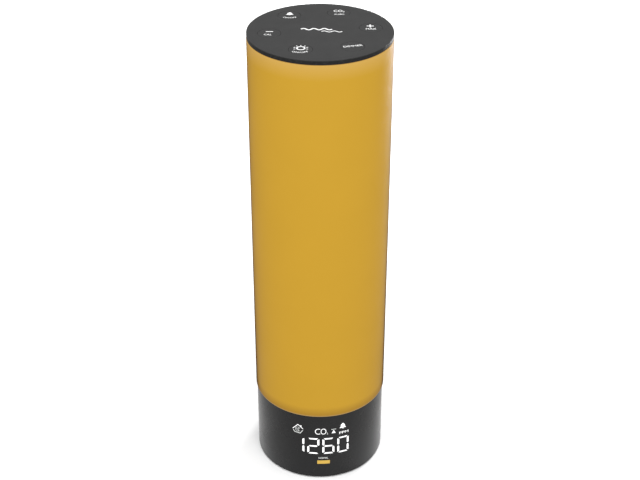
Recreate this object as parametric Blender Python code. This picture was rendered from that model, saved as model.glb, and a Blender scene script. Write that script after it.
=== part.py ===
"""A carbon dioxide monitor shaped as a slim column: a dark base with an LED display, a tall opal tube lit
from inside, and a dark cap with six push buttons.

Run it with blender --background --python part.py. Lengths are in metres, +Z is up, the origin is the centre
of the circle that the feet stand on, and the display faces -Y.
"""

import math

import bmesh
import bpy
from mathutils import Matrix, Vector

# Driving dimensions
TUBE_RADIUS = 0.0360
TUBE_WALL = 0.0020
BASE_RADIUS = 0.0354
BASE_WALL = 0.0020
FOOT_DROP = 0.0008  # how far the feet stand below the housing's lower rim
BASE_TOP = 0.0439  # the shoulder that the tube stands on
TUBE_TOP = 0.2512
RIM_RADIUS = 0.0359
RIM_TOP = 0.2538  # the sharp edge round the cap
CAP_TOP = 0.2540  # the flat face of the cap, which the buttons are flush with
FLAT_RADIUS = 0.0334  # from here a faint bevel falls to the rim
BUTTON_RADIUS = 0.00565
BUTTON_CIRCLE = 0.02485  # from the middle of the cap to the middle of a button
BUTTON_TURN = math.radians(8.2)  # how far the ring of buttons is turned from the display
BUTTON_TRAVEL = 0.0005

# Clearances and mesh quality
GAP = 0.0003  # between pieces that touch or slide
LOOSE = 0.0004  # between pieces that drop into each other
WELD = 1e-6
ROUND = 96  # sides of the large round pieces
BUTTON_ROUND = 32
SMALL_ROUND = 16
SCREW_ROUND = 12

# Inner radii that follow
TUBE_BORE = TUBE_RADIUS - TUBE_WALL
BASE_BORE = BASE_RADIUS - BASE_WALL
SPIGOT_RADIUS = TUBE_BORE - LOOSE  # the rings on the base and the cap that centre the tube
SPIGOT_WALL = 0.0019
EDGE = 0.0002  # the small break on moulded edges
THROUGH = 0.001  # how far a cutter or a joined piece runs past a face
WIRE_HOLE = 0.0060
PILOT = 0.00145  # radius of the holes that small screws cut their thread in

# Levels in the base
DECK_THICK = 0.0025
DECK_BOTTOM = BASE_TOP - DECK_THICK
SPIGOT_TOP = BASE_TOP + 0.0050
PLATE_BOTTOM = FOOT_DROP + 0.0005
PLATE_TOP = PLATE_BOTTOM + 0.0022
BOARD_BOTTOM = 0.0123
BOARD_TOP = BOARD_BOTTOM + 0.0016
BOSS_RADIUS = 0.0032
BOSS_CIRCLE = 0.0265
BOSS_ANGLES = [math.radians(45 + 90 * k) for k in range(4)]
SCREW_HOLE = 0.00160
SCREW_SHANK = 0.00120
HEAD_RADIUS, HEAD_TALL = 0.0027, 0.0021
SMALL_SHANK = 0.00110
SMALL_HEAD, SMALL_HEAD_TALL = 0.0025, 0.0018
COUNTERBORE = 0.0031
COUNTERBORE_TOP = 0.0046
COLLAR_WALL = 0.0012
PILOT_DEEP = 0.0138
RIB_INNER, RIB_OUTER = 0.0190, 0.0214  # the two ribs that hold the display's board
RIB_FRONT = -0.0275
VENT_COUNT = 8
VENT_WIDE, VENT_LONG = 0.0016, 0.0070
VENT_CIRCLE = 0.0135
FOOT_RADIUS = 0.0050
FOOT_CIRCLE = 0.0245
FOOT_ANGLES = [math.radians(90 * k) for k in range(4)]
FOOT_RECESS_TOP = PLATE_BOTTOM + 0.0012

# Power inlet at the rear of the base
INLET_HEIGHT = 0.01583  # middle of the socket
INLET_WIDE, INLET_TALL = 0.0130, 0.0074
INLET_FLOOR = 0.0302  # how far out the recess's back wall stands
INLET_WALL = 0.0010
SOCKET_WIDE, SOCKET_TALL, SOCKET_DEEP = 0.00894, 0.00326, 0.0073
SOCKET_MOUTH = 0.0298

# Air slots at the rear of the base
SLOT_COUNT = 11
SLOT_PITCH = math.radians(7.0)
SLOT_WIDE = 0.0018
SLOT_LOW, SLOT_HIGH = 0.0240, 0.0375

# LED display behind the front of the base: across is measured round the housing's face, up from the table
DIGIT_COUNT = 4
DIGIT_WIDE, DIGIT_TALL = 0.0071, 0.0119
DIGIT_PITCH = 0.0084
DIGIT_LEFT, DIGIT_LOW = -0.0156, 0.0168
BAR_WIDE, BAR_TALL = 0.0017, 0.0013  # thickness of a digit's upright and level bars
MITRE = 0.00030
HOUSE = [(-0.0146, 0.0302), (-0.0102, 0.0302), (-0.0091, 0.0346), (-0.0122, 0.0376), (-0.0157, 0.0330)]
GAS_NAME = (-0.0032, 0.0052, 0.0306, 0.0360)  # left, right, low and high
HIGHEST_SIGN = (0.0062, 0.0092, 0.0310, 0.0350)
BELL = [(0.0112, 0.0340), (0.0150, 0.0340), (0.0140, 0.0379), (0.0122, 0.0379)]
UNIT_NAME = (0.0106, 0.0166, 0.0300, 0.0323)
LEVEL_MIDDLES = (-0.0073, 0.0022, 0.0117)
LEVEL_HALF, LEVEL_LOW, LEVEL_HIGH = 0.0038, 0.0099, 0.0129
LEVEL_NAME_HALF, LEVEL_NAME_LOW, LEVEL_NAME_HIGH = 0.0031, 0.0135, 0.0153
DISPLAY_LOW, DISPLAY_HIGH = 0.0085, 0.0392
DISPLAY_HALF_WIDE = 0.0182
DISPLAY_BACK = -0.0258
DISPLAY_BOARD = (-0.0255, -0.0239)
DISPLAY_BOARD_HALF = 0.0185
DISPLAY_REACH = (-0.0400, -0.0200)  # cutters run right through the display in y
FILM_THICK = 0.0004

# Light column
COLUMN_SIDE = 0.0200
COLUMN_WALL = 0.0020
COLUMN_FOOT_RADIUS = 0.0170
COLUMN_FOOT_TOP = BASE_TOP + GAP + 0.0040
COLUMN_SCREW_OUT = 0.0136
COLUMN_SCREW_TURNS = (math.pi, 0)
LED_COUNT = 12
LED_PITCH = 0.0153
LED_SIDE, LED_TALL = 0.0050, 0.0016
LED_BOARD_WIDE, LED_BOARD_THICK = 0.0120, 0.0012
LED_BOARD_LOW = 0.0500

# Gas sensor
SENSOR_WIDE, SENSOR_LONG = 0.0196, 0.0296
SENSOR_MIDDLE = (0.0182, 0.0)
SENSOR_BOARD_BOTTOM = BOARD_TOP + 0.0030
SENSOR_BOARD_TOP = SENSOR_BOARD_BOTTOM + 0.0010
CELL_LOW = SENSOR_BOARD_TOP + GAP
CELL_FLOOR = CELL_LOW + 0.0030  # the bottom of the window for the air

# Levels under the cap, from the buttons down
CAP_UNDERSIDE = CAP_TOP - 0.0029
FLANGE_RADIUS = 0.0065
FLANGE_TOP = CAP_UNDERSIDE - GAP
FLANGE_BOTTOM = FLANGE_TOP - 0.0010
STEM_BOTTOM = FLANGE_BOTTOM - 0.0009
STEM_RADIUS = 0.0022
PLUNGER_TOP = STEM_BOTTOM - GAP
PLUNGER_BOTTOM = PLUNGER_TOP - 0.0014
PLUNGER_RADIUS = 0.0017
SWITCH_TOP = PLUNGER_TOP - 0.0007
SWITCH_BOTTOM = SWITCH_TOP - 0.0023
SWITCH_SIDE = 0.0062
SWITCH_HOLE = PLUNGER_RADIUS + LOOSE
SWITCH_FLOOR = PLUNGER_BOTTOM - BUTTON_TRAVEL - 0.0002
KEY_BOARD_TOP = SWITCH_BOTTOM - GAP
KEY_BOARD_BOTTOM = KEY_BOARD_TOP - 0.0013
KEY_BOARD_RADIUS = 0.0311
CARRIER_TOP = KEY_BOARD_BOTTOM - GAP
CARRIER_BOTTOM = CARRIER_TOP - 0.0020
CARRIER_PLUG_BOTTOM = CARRIER_BOTTOM - 0.0083
SKIRT_BOTTOM = CARRIER_TOP + GAP
COLUMN_TOP = CARRIER_BOTTOM - GAP
TOP_SCREW_HEIGHT = COLUMN_TOP - 0.0035
CAP_BOSS_RADIUS = 0.0029
CAP_BOSS_CIRCLE = 0.0270
CAP_BOSS_ANGLES = [BUTTON_TURN + math.radians(30 + 120 * k) for k in range(3)]
BUTTON_NAMES = ("plus", "co2_alarm", "bell", "minus", "light", "dimmer")
BUTTON_TURNS = [BUTTON_TURN + math.tau * k / len(BUTTON_NAMES) for k in range(len(BUTTON_NAMES))]
CABLE_RADIUS = 0.0009
PLUG_FLOOR = 0.0012  # the bottom of a connector's well
PLUG_KEY = 0.0026  # from the connector's middle to the face of its key


# Tools


def clear_scene():
    for obj in list(bpy.data.objects):
        bpy.data.objects.remove(obj)


def material(name, colour, roughness, metallic=0.0):
    made = bpy.data.materials.new(name)
    made.use_nodes = True
    shader = made.node_tree.nodes["Principled BSDF"]
    shader.inputs["Base Color"].default_value = (*colour, 1)
    shader.inputs["Roughness"].default_value = roughness
    shader.inputs["Metallic"].default_value = metallic
    return made


def turned(profile, sides=ROUND):
    """A solid turned about Z from an outline of (radius, height) points, left open where it meets the axis."""
    solid = bmesh.new()
    points = [solid.verts.new((radius, 0, height)) for radius, height in profile]
    pairs = list(zip(points, points[1:]))
    if profile[0][0] or profile[-1][0]:
        pairs.append((points[-1], points[0]))
    edges = [solid.edges.new(pair) for pair in pairs]
    bmesh.ops.spin(
        solid, geom=points + edges, cent=(0, 0, 0), axis=(0, 0, 1), angle=math.tau, steps=sides, use_merge=True
    )
    return tidied(solid)


def prism(outline, low, high):
    """A solid with a flat outline of (x, y) points, from height low to height high."""
    solid = bmesh.new()
    face = solid.faces.new([solid.verts.new((x, y, low)) for x, y in outline])
    raised = bmesh.ops.extrude_face_region(solid, geom=[face])["geom"]
    points = [item for item in raised if isinstance(item, bmesh.types.BMVert)]
    bmesh.ops.translate(solid, verts=points, vec=(0, 0, high - low))
    return tidied(solid)


def tidied(solid):
    bmesh.ops.remove_doubles(solid, verts=solid.verts, dist=WELD)
    bmesh.ops.recalc_face_normals(solid, faces=solid.faces)
    return solid


def block(low, high):
    """A box between two corners."""
    outline = [(low[0], low[1]), (high[0], low[1]), (high[0], high[1]), (low[0], high[1])]
    return prism(outline, low[2], high[2])


def circle(radius, sides=SMALL_ROUND, centre=(0, 0)):
    turns = [math.tau * k / sides for k in range(sides)]
    return [(centre[0] + radius * math.cos(t), centre[1] + radius * math.sin(t)) for t in turns]


def rod(radius, low, high, centre=(0, 0), sides=SMALL_ROUND):
    return prism(circle(radius, sides, centre), low, high)


def rods(radius, low, high, circle_radius, turns, sides=SMALL_ROUND):
    """Rods standing at some angles round a circle."""
    return merged([rod(radius, low, high, polar(circle_radius, turn), sides) for turn in turns])


def rounded_rectangle(wide, tall, corner, steps=4):
    points = []
    for quarter, (x, y) in enumerate(((1, 1), (-1, 1), (-1, -1), (1, -1))):
        for step in range(steps + 1):
            turn = math.pi / 2 * (quarter + step / steps)
            across, up = x * (wide / 2 - corner), y * (tall / 2 - corner)
            points.append((across + corner * math.cos(turn), up + corner * math.sin(turn)))
    return points


def slot_outline(wide, long, steps=4):
    """A slot with round ends, its length along Y."""
    radius, reach = wide / 2, (long - wide) / 2
    turns = [math.pi * k / steps for k in range(steps + 1)]
    upper = [(radius * math.cos(t), reach + radius * math.sin(t)) for t in turns]
    return upper + [(-x, -y) for x, y in upper]


def polar(radius, turn):
    return radius * math.cos(turn), radius * math.sin(turn)


def placed(solid, matrix):
    bmesh.ops.transform(solid, matrix=matrix, verts=solid.verts)
    return tidied(solid)


def facing_rear(solid, height):
    """Turns a solid drawn in the XY plane, and rising in Z, to stand upright and run out along +Y."""
    return placed(solid, Matrix.Translation((0, 0, height)) @ Matrix.Rotation(math.radians(-90), 4, "X"))


def merged(solids):
    """Several solids that don't touch each other, as one set of shapes to cut or join with."""
    together = bmesh.new()
    for solid in solids:
        mesh = bpy.data.meshes.new("part")
        solid.to_mesh(mesh)
        together.from_mesh(mesh)
        bpy.data.meshes.remove(mesh)
        solid.free()
    return together


def boolean(first, second, operation):
    """The Boolean of two closed solids, as a new one."""
    pair = []
    for solid in (first, second):
        mesh = bpy.data.meshes.new("operand")
        solid.to_mesh(mesh)
        solid.free()
        obj = bpy.data.objects.new("operand", mesh)
        bpy.context.scene.collection.objects.link(obj)
        pair.append(obj)
    modifier = pair[0].modifiers.new("boolean", "BOOLEAN")
    modifier.operation = operation
    modifier.solver = "EXACT"
    modifier.object = pair[1]
    result = bmesh.new()
    result.from_object(pair[0], bpy.context.evaluated_depsgraph_get())
    for obj in pair:
        mesh = obj.data
        bpy.data.objects.remove(obj)
        bpy.data.meshes.remove(mesh)
    bmesh.ops.remove_doubles(result, verts=result.verts, dist=WELD)
    bmesh.ops.dissolve_degenerate(result, edges=result.edges, dist=WELD)
    return result


def joined(first, *others):
    for other in others:
        first = boolean(first, other, "UNION")
    return first


def cut(solid, *tools):
    for tool in tools:
        solid = boolean(solid, tool, "DIFFERENCE")
    return solid


def mesh_of(name, solid, look):
    mesh = bpy.data.meshes.new(name)
    solid.to_mesh(mesh)
    solid.free()
    mesh.materials.append(look)
    mesh.shade_smooth()
    mesh.set_sharp_from_angle(angle=math.radians(30))
    return mesh


def piece(name, solid, look, location=(0, 0, 0), turn=0.0):
    """One named object. solid is a bmesh, or a mesh that it shares with its copies."""
    mesh = mesh_of(name, solid, look) if isinstance(solid, bmesh.types.BMesh) else solid
    obj = bpy.data.objects.new(name, mesh)
    obj.location = location
    obj.rotation_euler = (0, 0, turn)
    bpy.context.scene.collection.objects.link(obj)
    return obj


# Base


def air_slots():
    """Upright slots with round ends, cut through the rear of the housing."""
    middle = (SLOT_COUNT - 1) / 2
    outline = slot_outline(SLOT_WIDE, SLOT_HIGH - SLOT_LOW)
    height = (SLOT_LOW + SLOT_HIGH) / 2
    slots = []
    for k in range(SLOT_COUNT):
        slot = facing_rear(prism(outline, BASE_BORE - 0.004, BASE_RADIUS + 0.004), height)
        slots.append(placed(slot, Matrix.Rotation((k - middle) * SLOT_PITCH, 4, "Z")))
    return merged(slots)


def inlet_collar():
    """The thickening inside the housing that the power inlet's recess is sunk in."""
    outline = rounded_rectangle(INLET_WIDE + 0.0030, INLET_TALL + 0.0026, 0.0015)
    return facing_rear(prism(outline, INLET_FLOOR - INLET_WALL, BASE_BORE + 0.0008), INLET_HEIGHT)


def inlet_opening():
    """The recess for the plug, and the port at its bottom for the socket."""
    recess = prism(rounded_rectangle(INLET_WIDE, INLET_TALL, 0.0010), INLET_FLOOR, BASE_RADIUS + 0.004)
    port = rounded_rectangle(SOCKET_WIDE + 2 * GAP, SOCKET_TALL + 2 * GAP, 0.0016)
    port = prism(port, INLET_FLOOR - 0.003, INLET_FLOOR + THROUGH)
    return facing_rear(joined(recess, port), INLET_HEIGHT)


def base_housing():
    spigot_bore = SPIGOT_RADIUS - SPIGOT_WALL
    shell = turned(
        [
            (BASE_RADIUS, FOOT_DROP + 2 * EDGE),
            (BASE_RADIUS, BASE_TOP - EDGE),
            (BASE_RADIUS - EDGE, BASE_TOP),
            (SPIGOT_RADIUS, BASE_TOP),
            (SPIGOT_RADIUS, SPIGOT_TOP - EDGE),
            (SPIGOT_RADIUS - EDGE, SPIGOT_TOP),
            (spigot_bore, SPIGOT_TOP),
            (spigot_bore, BASE_TOP),
            (WIRE_HOLE, BASE_TOP),
            (WIRE_HOLE, DECK_BOTTOM),
            (BASE_BORE, DECK_BOTTOM),
            (BASE_BORE, FOOT_DROP),
            (BASE_RADIUS - 2 * EDGE, FOOT_DROP),
        ]
    )
    low, high = BOARD_TOP + GAP, DECK_BOTTOM + THROUGH
    bosses = rods(BOSS_RADIUS, low, high, BOSS_CIRCLE, BOSS_ANGLES)
    ribs = [
        block((left, RIB_FRONT, low), (left + RIB_OUTER - RIB_INNER, DISPLAY_BOARD[1] + 0.0002, high))
        for left in (-RIB_OUTER, RIB_INNER)
    ]
    shell = joined(shell, bosses, merged(ribs), inlet_collar())
    boss_holes = rods(SCREW_HOLE, low - THROUGH, low + PILOT_DEEP, BOSS_CIRCLE, BOSS_ANGLES, SCREW_ROUND)
    foot_holes = rods(
        SCREW_HOLE, DECK_BOTTOM - THROUGH, BASE_TOP + THROUGH, COLUMN_SCREW_OUT, COLUMN_SCREW_TURNS, SCREW_ROUND
    )
    return cut(shell, inlet_opening(), boss_holes, foot_holes, air_slots())


def base_plate():
    radius = BASE_BORE - LOOSE
    plate = turned(
        [
            (0, PLATE_BOTTOM),
            (radius - EDGE, PLATE_BOTTOM),
            (radius, PLATE_BOTTOM + EDGE),
            (radius, PLATE_TOP),
            (0, PLATE_TOP),
        ]
    )
    low = PLATE_TOP - THROUGH
    pillars = rods(BOSS_RADIUS, low, BOARD_BOTTOM - GAP, BOSS_CIRCLE, BOSS_ANGLES)
    # Each pillar is wider round the head's recess, so that the recess keeps a wall.
    collars = rods(COUNTERBORE + COLLAR_WALL, low, COUNTERBORE_TOP + COLLAR_WALL, BOSS_CIRCLE, BOSS_ANGLES)
    recesses = rods(FOOT_RADIUS + GAP, 0, FOOT_RECESS_TOP, FOOT_CIRCLE, FOOT_ANGLES, ROUND // 2)
    counterbores = rods(COUNTERBORE, 0, COUNTERBORE_TOP, BOSS_CIRCLE, BOSS_ANGLES)
    holes = rods(SCREW_HOLE, THROUGH, BOARD_BOTTOM, BOSS_CIRCLE, BOSS_ANGLES, SCREW_ROUND)
    vents = []
    for k in range(VENT_COUNT):
        vent = prism(slot_outline(VENT_WIDE, VENT_LONG), 0, PLATE_TOP + THROUGH)
        turn = Matrix.Rotation(math.tau * (k + 0.5) / VENT_COUNT, 4, "Z")
        vents.append(placed(vent, turn @ Matrix.Translation((0, VENT_CIRCLE, 0))))
    return cut(joined(plate, pillars, collars), recesses, counterbores, merged(vents), holes)


def rubber_foot():
    top = FOOT_RECESS_TOP - GAP
    lip = 2 * EDGE
    foot_edge = [(FOOT_RADIUS - lip, 0), (FOOT_RADIUS - lip / 3, lip / 3), (FOOT_RADIUS, lip)]
    return turned([(0, 0), *foot_edge, (FOOT_RADIUS, top), (0, top)], ROUND // 2)


def screw(length, shank=SCREW_SHANK, head=HEAD_RADIUS, head_tall=HEAD_TALL):
    """A pan-head screw pointing up, its head's seat at height 0, with a cross recess in the head."""
    dome = head_tall / 3
    body = turned(
        [
            (0, -head_tall),
            (0.75 * head, -head_tall + 0.15 * dome),
            (head, -head_tall + dome),
            (head, 0),
            (shank, 0),
            (shank, length - shank),
            (0, length),
        ],
        SCREW_ROUND,
    )
    bar, arm = 0.15 * head, 0.62 * head
    cross = []
    for k in range(4):
        quarter = Matrix.Rotation(k * math.pi / 2, 2)
        cross += [tuple(quarter @ Vector(point)) for point in ((arm, -bar), (arm, bar), (bar, bar))]
    return cut(body, prism(cross, -head_tall - THROUGH, -head_tall / 2))


# Electronics in the base


def main_board():
    front, rear = DISPLAY_BOARD[1] + 0.0005, INLET_FLOOR - INLET_WALL - 0.0005
    disc = rod(BASE_BORE - 0.0009, BOARD_BOTTOM, BOARD_TOP, sides=ROUND)
    board = boolean(disc, block((-BASE_RADIUS, front, 0), (BASE_RADIUS, rear, 1)), "INTERSECT")
    low, high = BOARD_BOTTOM - THROUGH, BOARD_TOP + THROUGH
    return cut(board, rods(SCREW_HOLE, low, high, BOSS_CIRCLE, BOSS_ANGLES, SCREW_ROUND))


def usb_socket():
    """A drawn metal shell with a tongue inside, lying on the board with its mouth to the rear."""
    wall, tongue = 0.0003, 0.0007
    back = SOCKET_MOUTH - SOCKET_DEEP
    shell = prism(rounded_rectangle(SOCKET_WIDE, SOCKET_TALL, 0.0013), back, SOCKET_MOUTH)
    inside = rounded_rectangle(SOCKET_WIDE - 2 * wall, SOCKET_TALL - 2 * wall, 0.0010)
    shell = cut(shell, prism(inside, back + THROUGH, SOCKET_MOUTH + THROUGH))
    blade = prism(rounded_rectangle(0.0067, tongue, 0.0002, 2), back + 0.0005, SOCKET_MOUTH - 0.0008)
    return facing_rear(joined(shell, blade), INLET_HEIGHT)


def chip(side, tall, leads):
    """A flat chip with rows of short leads on its four sides, its leads' feet at height 0."""
    body = block((-side / 2, -side / 2, 0.0002), (side / 2, side / 2, tall))
    pitch = 0.8 * side / (leads - 1)
    rows = []
    for k in range(leads):
        at = (k - (leads - 1) / 2) * pitch
        rows.append(block((at - 0.0002, -side / 2 - 0.0009, 0), (at + 0.0002, side / 2 + 0.0009, 0.0005)))
    across = merged([solid.copy() for solid in rows])
    along = placed(merged(rows), Matrix.Rotation(math.pi / 2, 4, "Z"))
    return joined(body, across, along)


def buzzer():
    radius, tall, hole, deep = 0.0060, 0.0065, 0.0012, 0.0015
    return turned(
        [
            (0, 0),
            (radius, 0),
            (radius, tall - 2 * EDGE),
            (radius - 2 * EDGE, tall),
            (hole, tall),
            (hole, tall - deep),
            (0, tall - deep),
        ],
        SMALL_ROUND,
    )


def capacitor():
    radius, tall, neck = 0.0040, 0.0100, 0.0036
    return turned(
        [
            (0, 0),
            (radius, 0),
            (radius, 0.0014),
            (neck, 0.0018),
            (radius, 0.0022),
            (radius, tall - 2 * EDGE),
            (radius - 2 * EDGE, tall),
            (0, tall),
        ],
        SMALL_ROUND,
    )


def sensor_pins():
    """Two rows of square pins on a plastic bar, which carry the sensor's board above the main board."""
    low, high = BOARD_TOP + GAP, SENSOR_BOARD_BOTTOM - GAP
    bar = block((-0.0012, -0.0085, low), (0.0012, 0.0085, high))
    notches = [
        block((-0.002, y, low - THROUGH), (0.002, y + 0.0006, low + 0.0008)) for y in (-0.0045, -0.0003, 0.0039)
    ]
    return cut(bar, merged(notches))


def sensor_board():
    x, y = SENSOR_MIDDLE
    board = block(
        (x - SENSOR_WIDE / 2, y - SENSOR_LONG / 2, SENSOR_BOARD_BOTTOM),
        (x + SENSOR_WIDE / 2, y + SENSOR_LONG / 2, SENSOR_BOARD_TOP),
    )
    low, high = SENSOR_BOARD_BOTTOM - THROUGH, SENSOR_BOARD_TOP + THROUGH
    notches = [rod(0.0012, low, high, (x, y + end * SENSOR_LONG / 2)) for end in (-1, 1)]
    return cut(board, merged(notches))


def sensor_chamber():
    """The optical cell: a raised box with stepped ends and a window for the air in its lid."""
    x, y = SENSOR_MIDDLE
    cell = block((x - 0.0085, y - 0.0120, CELL_LOW), (x + 0.0085, y + 0.0120, CELL_LOW + 0.0045))
    step = block((x - 0.0060, y - 0.0135, CELL_LOW), (x + 0.0060, y + 0.0135, CELL_FLOOR))
    window = block((x - 0.0058, y - 0.0078, CELL_FLOOR), (x + 0.0058, y + 0.0078, CELL_FLOOR + 0.0030))
    return cut(joined(cell, step), window)


def sensor_filter():
    """The white membrane that keeps dust out of the optical cell, set into its window."""
    x, y = SENSOR_MIDDLE
    outline = [(x + u, y + v) for u, v in rounded_rectangle(0.0110, 0.0150, 0.0010)]
    return prism(outline, CELL_FLOOR + GAP, CELL_FLOOR + 0.0017)


# Display


def mirrored(outline, wide):
    return [(wide - x, y) for x, y in outline]


def upended(outline, tall):
    return [(x, tall - y) for x, y in outline]


def digit_bars(left, low):
    """A digit's bars as outlines of (across, up) points: top, right pair, bottom, left pair and middle."""
    wide, tall, side_thick, thick, gap = DIGIT_WIDE, DIGIT_TALL, BAR_WIDE, BAR_TALL, MITRE
    half = tall / 2
    top = [(2 * gap, tall), (side_thick + gap, tall - thick)]
    top += mirrored(top[::-1], wide)
    upper_right = [
        (wide, tall - 2 * gap),
        (wide - side_thick, tall - thick - gap),
        (wide - side_thick, half + thick / 2 + gap),
        (wide - side_thick / 2, half + gap),
        (wide, half + thick / 2 + gap),
    ]
    tip, inner = side_thick / 2 + gap, side_thick + gap
    left_end = [(inner, half + thick / 2), (tip, half), (inner, half - thick / 2)]
    middle = left_end + mirrored(left_end[::-1], wide)
    lower_right = upended(upper_right, tall)
    bars = [top, upper_right, lower_right, upended(top, tall)]
    bars += [mirrored(lower_right, wide), mirrored(upper_right, wide), middle]
    return [[(left + x, low + y) for x, y in bar] for bar in bars]


def box_outline(left, right, low, high):
    return [(left, low), (right, low), (right, high), (left, high)]


def display_windows():
    """Outlines of every light cell of the display, in (across, up) points."""
    cells = []
    for k in range(DIGIT_COUNT):
        cells += digit_bars(DIGIT_LEFT + k * DIGIT_PITCH, DIGIT_LOW)
    cells += [HOUSE, box_outline(*GAS_NAME), box_outline(*HIGHEST_SIGN), BELL, box_outline(*UNIT_NAME)]
    for middle in LEVEL_MIDDLES:
        cells.append(box_outline(middle - LEVEL_HALF, middle + LEVEL_HALF, LEVEL_LOW, LEVEL_HIGH))
        left, right = middle - LEVEL_NAME_HALF, middle + LEVEL_NAME_HALF
        cells.append(box_outline(left, right, LEVEL_NAME_LOW, LEVEL_NAME_HIGH))
    return cells


def across_to_x(across):
    return BASE_RADIUS * math.sin(across / BASE_RADIUS)


def upright(outline, front, back):
    """A solid with an outline of (x, height) points, from y = front to y = back."""
    solid = prism([(x, -z) for x, z in outline], front, back)
    return placed(solid, Matrix.Rotation(math.radians(-90), 4, "X"))


def display_reflector():
    """A white block, curved in front and flat behind, with a light cell through it for each bar and symbol."""
    face = BASE_BORE - GAP - FILM_THICK - GAP
    wide = DISPLAY_HALF_WIDE - EDGE
    disc = rod(face, DISPLAY_LOW, DISPLAY_HIGH, sides=ROUND)
    body = boolean(disc, block((-wide, DISPLAY_REACH[0], 0), (wide, DISPLAY_BACK, 1)), "INTERSECT")
    flat_windows = [[(across_to_x(x), z) for x, z in outline] for outline in display_windows()]
    return cut(body, merged([upright(outline, *DISPLAY_REACH) for outline in flat_windows]))


def display_film():
    """The thin printed sheet between the display's cells and the housing, curved with the housing."""
    outer = BASE_BORE - GAP
    inner = outer - FILM_THICK
    ring = turned([(outer, DISPLAY_LOW), (outer, DISPLAY_HIGH), (inner, DISPLAY_HIGH), (inner, DISPLAY_LOW)])
    front, back = DISPLAY_REACH
    return boolean(ring, block((-DISPLAY_HALF_WIDE, front, 0), (DISPLAY_HALF_WIDE, back, 1)), "INTERSECT")


def display_board():
    """The display's circuit board, with one small LED standing in the middle of each light cell."""
    front, back = DISPLAY_BOARD
    board = block((-DISPLAY_BOARD_HALF, front, DISPLAY_LOW), (DISPLAY_BOARD_HALF, back, DISPLAY_HIGH))
    leds = []
    for outline in display_windows():
        x = sum(across_to_x(point[0]) for point in outline) / len(outline)
        z = sum(point[1] for point in outline) / len(outline)
        leds.append(block((x - 0.0004, front - 0.0005, z - 0.0003), (x + 0.0004, front + 0.0004, z + 0.0003)))
    return joined(board, merged(leds))


# Light column


def light_column():
    """A hollow square post on a round foot, with an LED board on each side and the cable inside."""
    side, bore = COLUMN_SIDE / 2, COLUMN_SIDE / 2 - COLUMN_WALL
    foot_bottom = BASE_TOP + GAP
    foot = rod(COLUMN_FOOT_RADIUS, foot_bottom, COLUMN_FOOT_TOP, sides=ROUND // 2)
    post = block((-side, -side, foot_bottom + THROUGH), (side, side, COLUMN_TOP))
    hollow = block((-bore, -bore, foot_bottom - THROUGH), (bore, bore, COLUMN_TOP + THROUGH))
    low, high = foot_bottom - THROUGH, COLUMN_FOOT_TOP + THROUGH
    foot_pilots = rods(PILOT, low, high, COLUMN_SCREW_OUT, COLUMN_SCREW_TURNS, SCREW_ROUND)
    side_pilots = lying_rod(PILOT, side + THROUGH)
    return cut(joined(foot, post), hollow, foot_pilots, side_pilots)


def lying_rod(radius, reach):
    """A rod along X through the column's axis, at the height of its top screws."""
    laid = placed(rod(radius, -reach, reach, sides=SCREW_ROUND), Matrix.Rotation(math.pi / 2, 4, "Y"))
    return placed(laid, Matrix.Translation((0, 0, TOP_SCREW_HEIGHT)))


def led_board():
    """A strip board standing upright in the plane x = 0, its LEDs towards +X."""
    low, high = LED_BOARD_LOW, LED_BOARD_LOW + LED_COUNT * LED_PITCH
    half = LED_BOARD_WIDE / 2
    board = block((0, -half, low), (LED_BOARD_THICK, half, high))
    back, front, led = LED_BOARD_THICK - 2 * EDGE, LED_BOARD_THICK + LED_TALL, LED_SIDE / 2
    middles = [low + (k + 0.5) * LED_PITCH for k in range(LED_COUNT)]
    return joined(board, merged([block((back, -led, z - led), (front, led, z + led)) for z in middles]))


# Top


def carrier():
    """The white disc that closes the top of the lit space. Its hollow plug fits the column."""
    plug_side = COLUMN_SIDE / 2 - COLUMN_WALL - GAP
    disc = rod(TUBE_BORE - 0.0006, CARRIER_BOTTOM, CARRIER_TOP, sides=ROUND)
    outline = box_outline(-plug_side, plug_side, -plug_side, plug_side)
    plug = prism(outline, CARRIER_PLUG_BOTTOM, CARRIER_BOTTOM + THROUGH)
    wire_hole = rod(0.0035, CARRIER_PLUG_BOTTOM - THROUGH, CARRIER_TOP + THROUGH)
    low, high = CARRIER_BOTTOM - THROUGH, CARRIER_TOP + THROUGH
    holes = rods(SCREW_HOLE, low, high, CAP_BOSS_CIRCLE, CAP_BOSS_ANGLES, SCREW_ROUND)
    return cut(joined(disc, plug), wire_hole, holes, lying_rod(SMALL_SHANK + 0.0001, plug_side + THROUGH))


def button_board():
    board = rod(KEY_BOARD_RADIUS, KEY_BOARD_BOTTOM, KEY_BOARD_TOP, sides=ROUND)
    low, high = KEY_BOARD_BOTTOM - THROUGH, KEY_BOARD_TOP + THROUGH
    holes = rods(CAP_BOSS_RADIUS + LOOSE, low, high, CAP_BOSS_CIRCLE, CAP_BOSS_ANGLES)
    return cut(board, holes, rod(0.0040, low, high))


def switch_body():
    """A tactile switch: a square body with chamfered corners and a round well for its plunger."""
    outline = rounded_rectangle(SWITCH_SIDE, SWITCH_SIDE, 0.0005, 1)
    return cut(prism(outline, SWITCH_BOTTOM, SWITCH_TOP), rod(SWITCH_HOLE, SWITCH_FLOOR, SWITCH_TOP + THROUGH))


def lowered(profile):
    """A profile in heights above the table, measured from the button's face instead."""
    return [(radius, height - CAP_TOP) for radius, height in profile]


def plunger():
    profile = [
        (0, PLUNGER_BOTTOM),
        (PLUNGER_RADIUS, PLUNGER_BOTTOM),
        (PLUNGER_RADIUS, PLUNGER_TOP - EDGE),
        (PLUNGER_RADIUS - EDGE, PLUNGER_TOP),
        (0, PLUNGER_TOP),
    ]
    return turned(lowered(profile), SMALL_ROUND)


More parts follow.
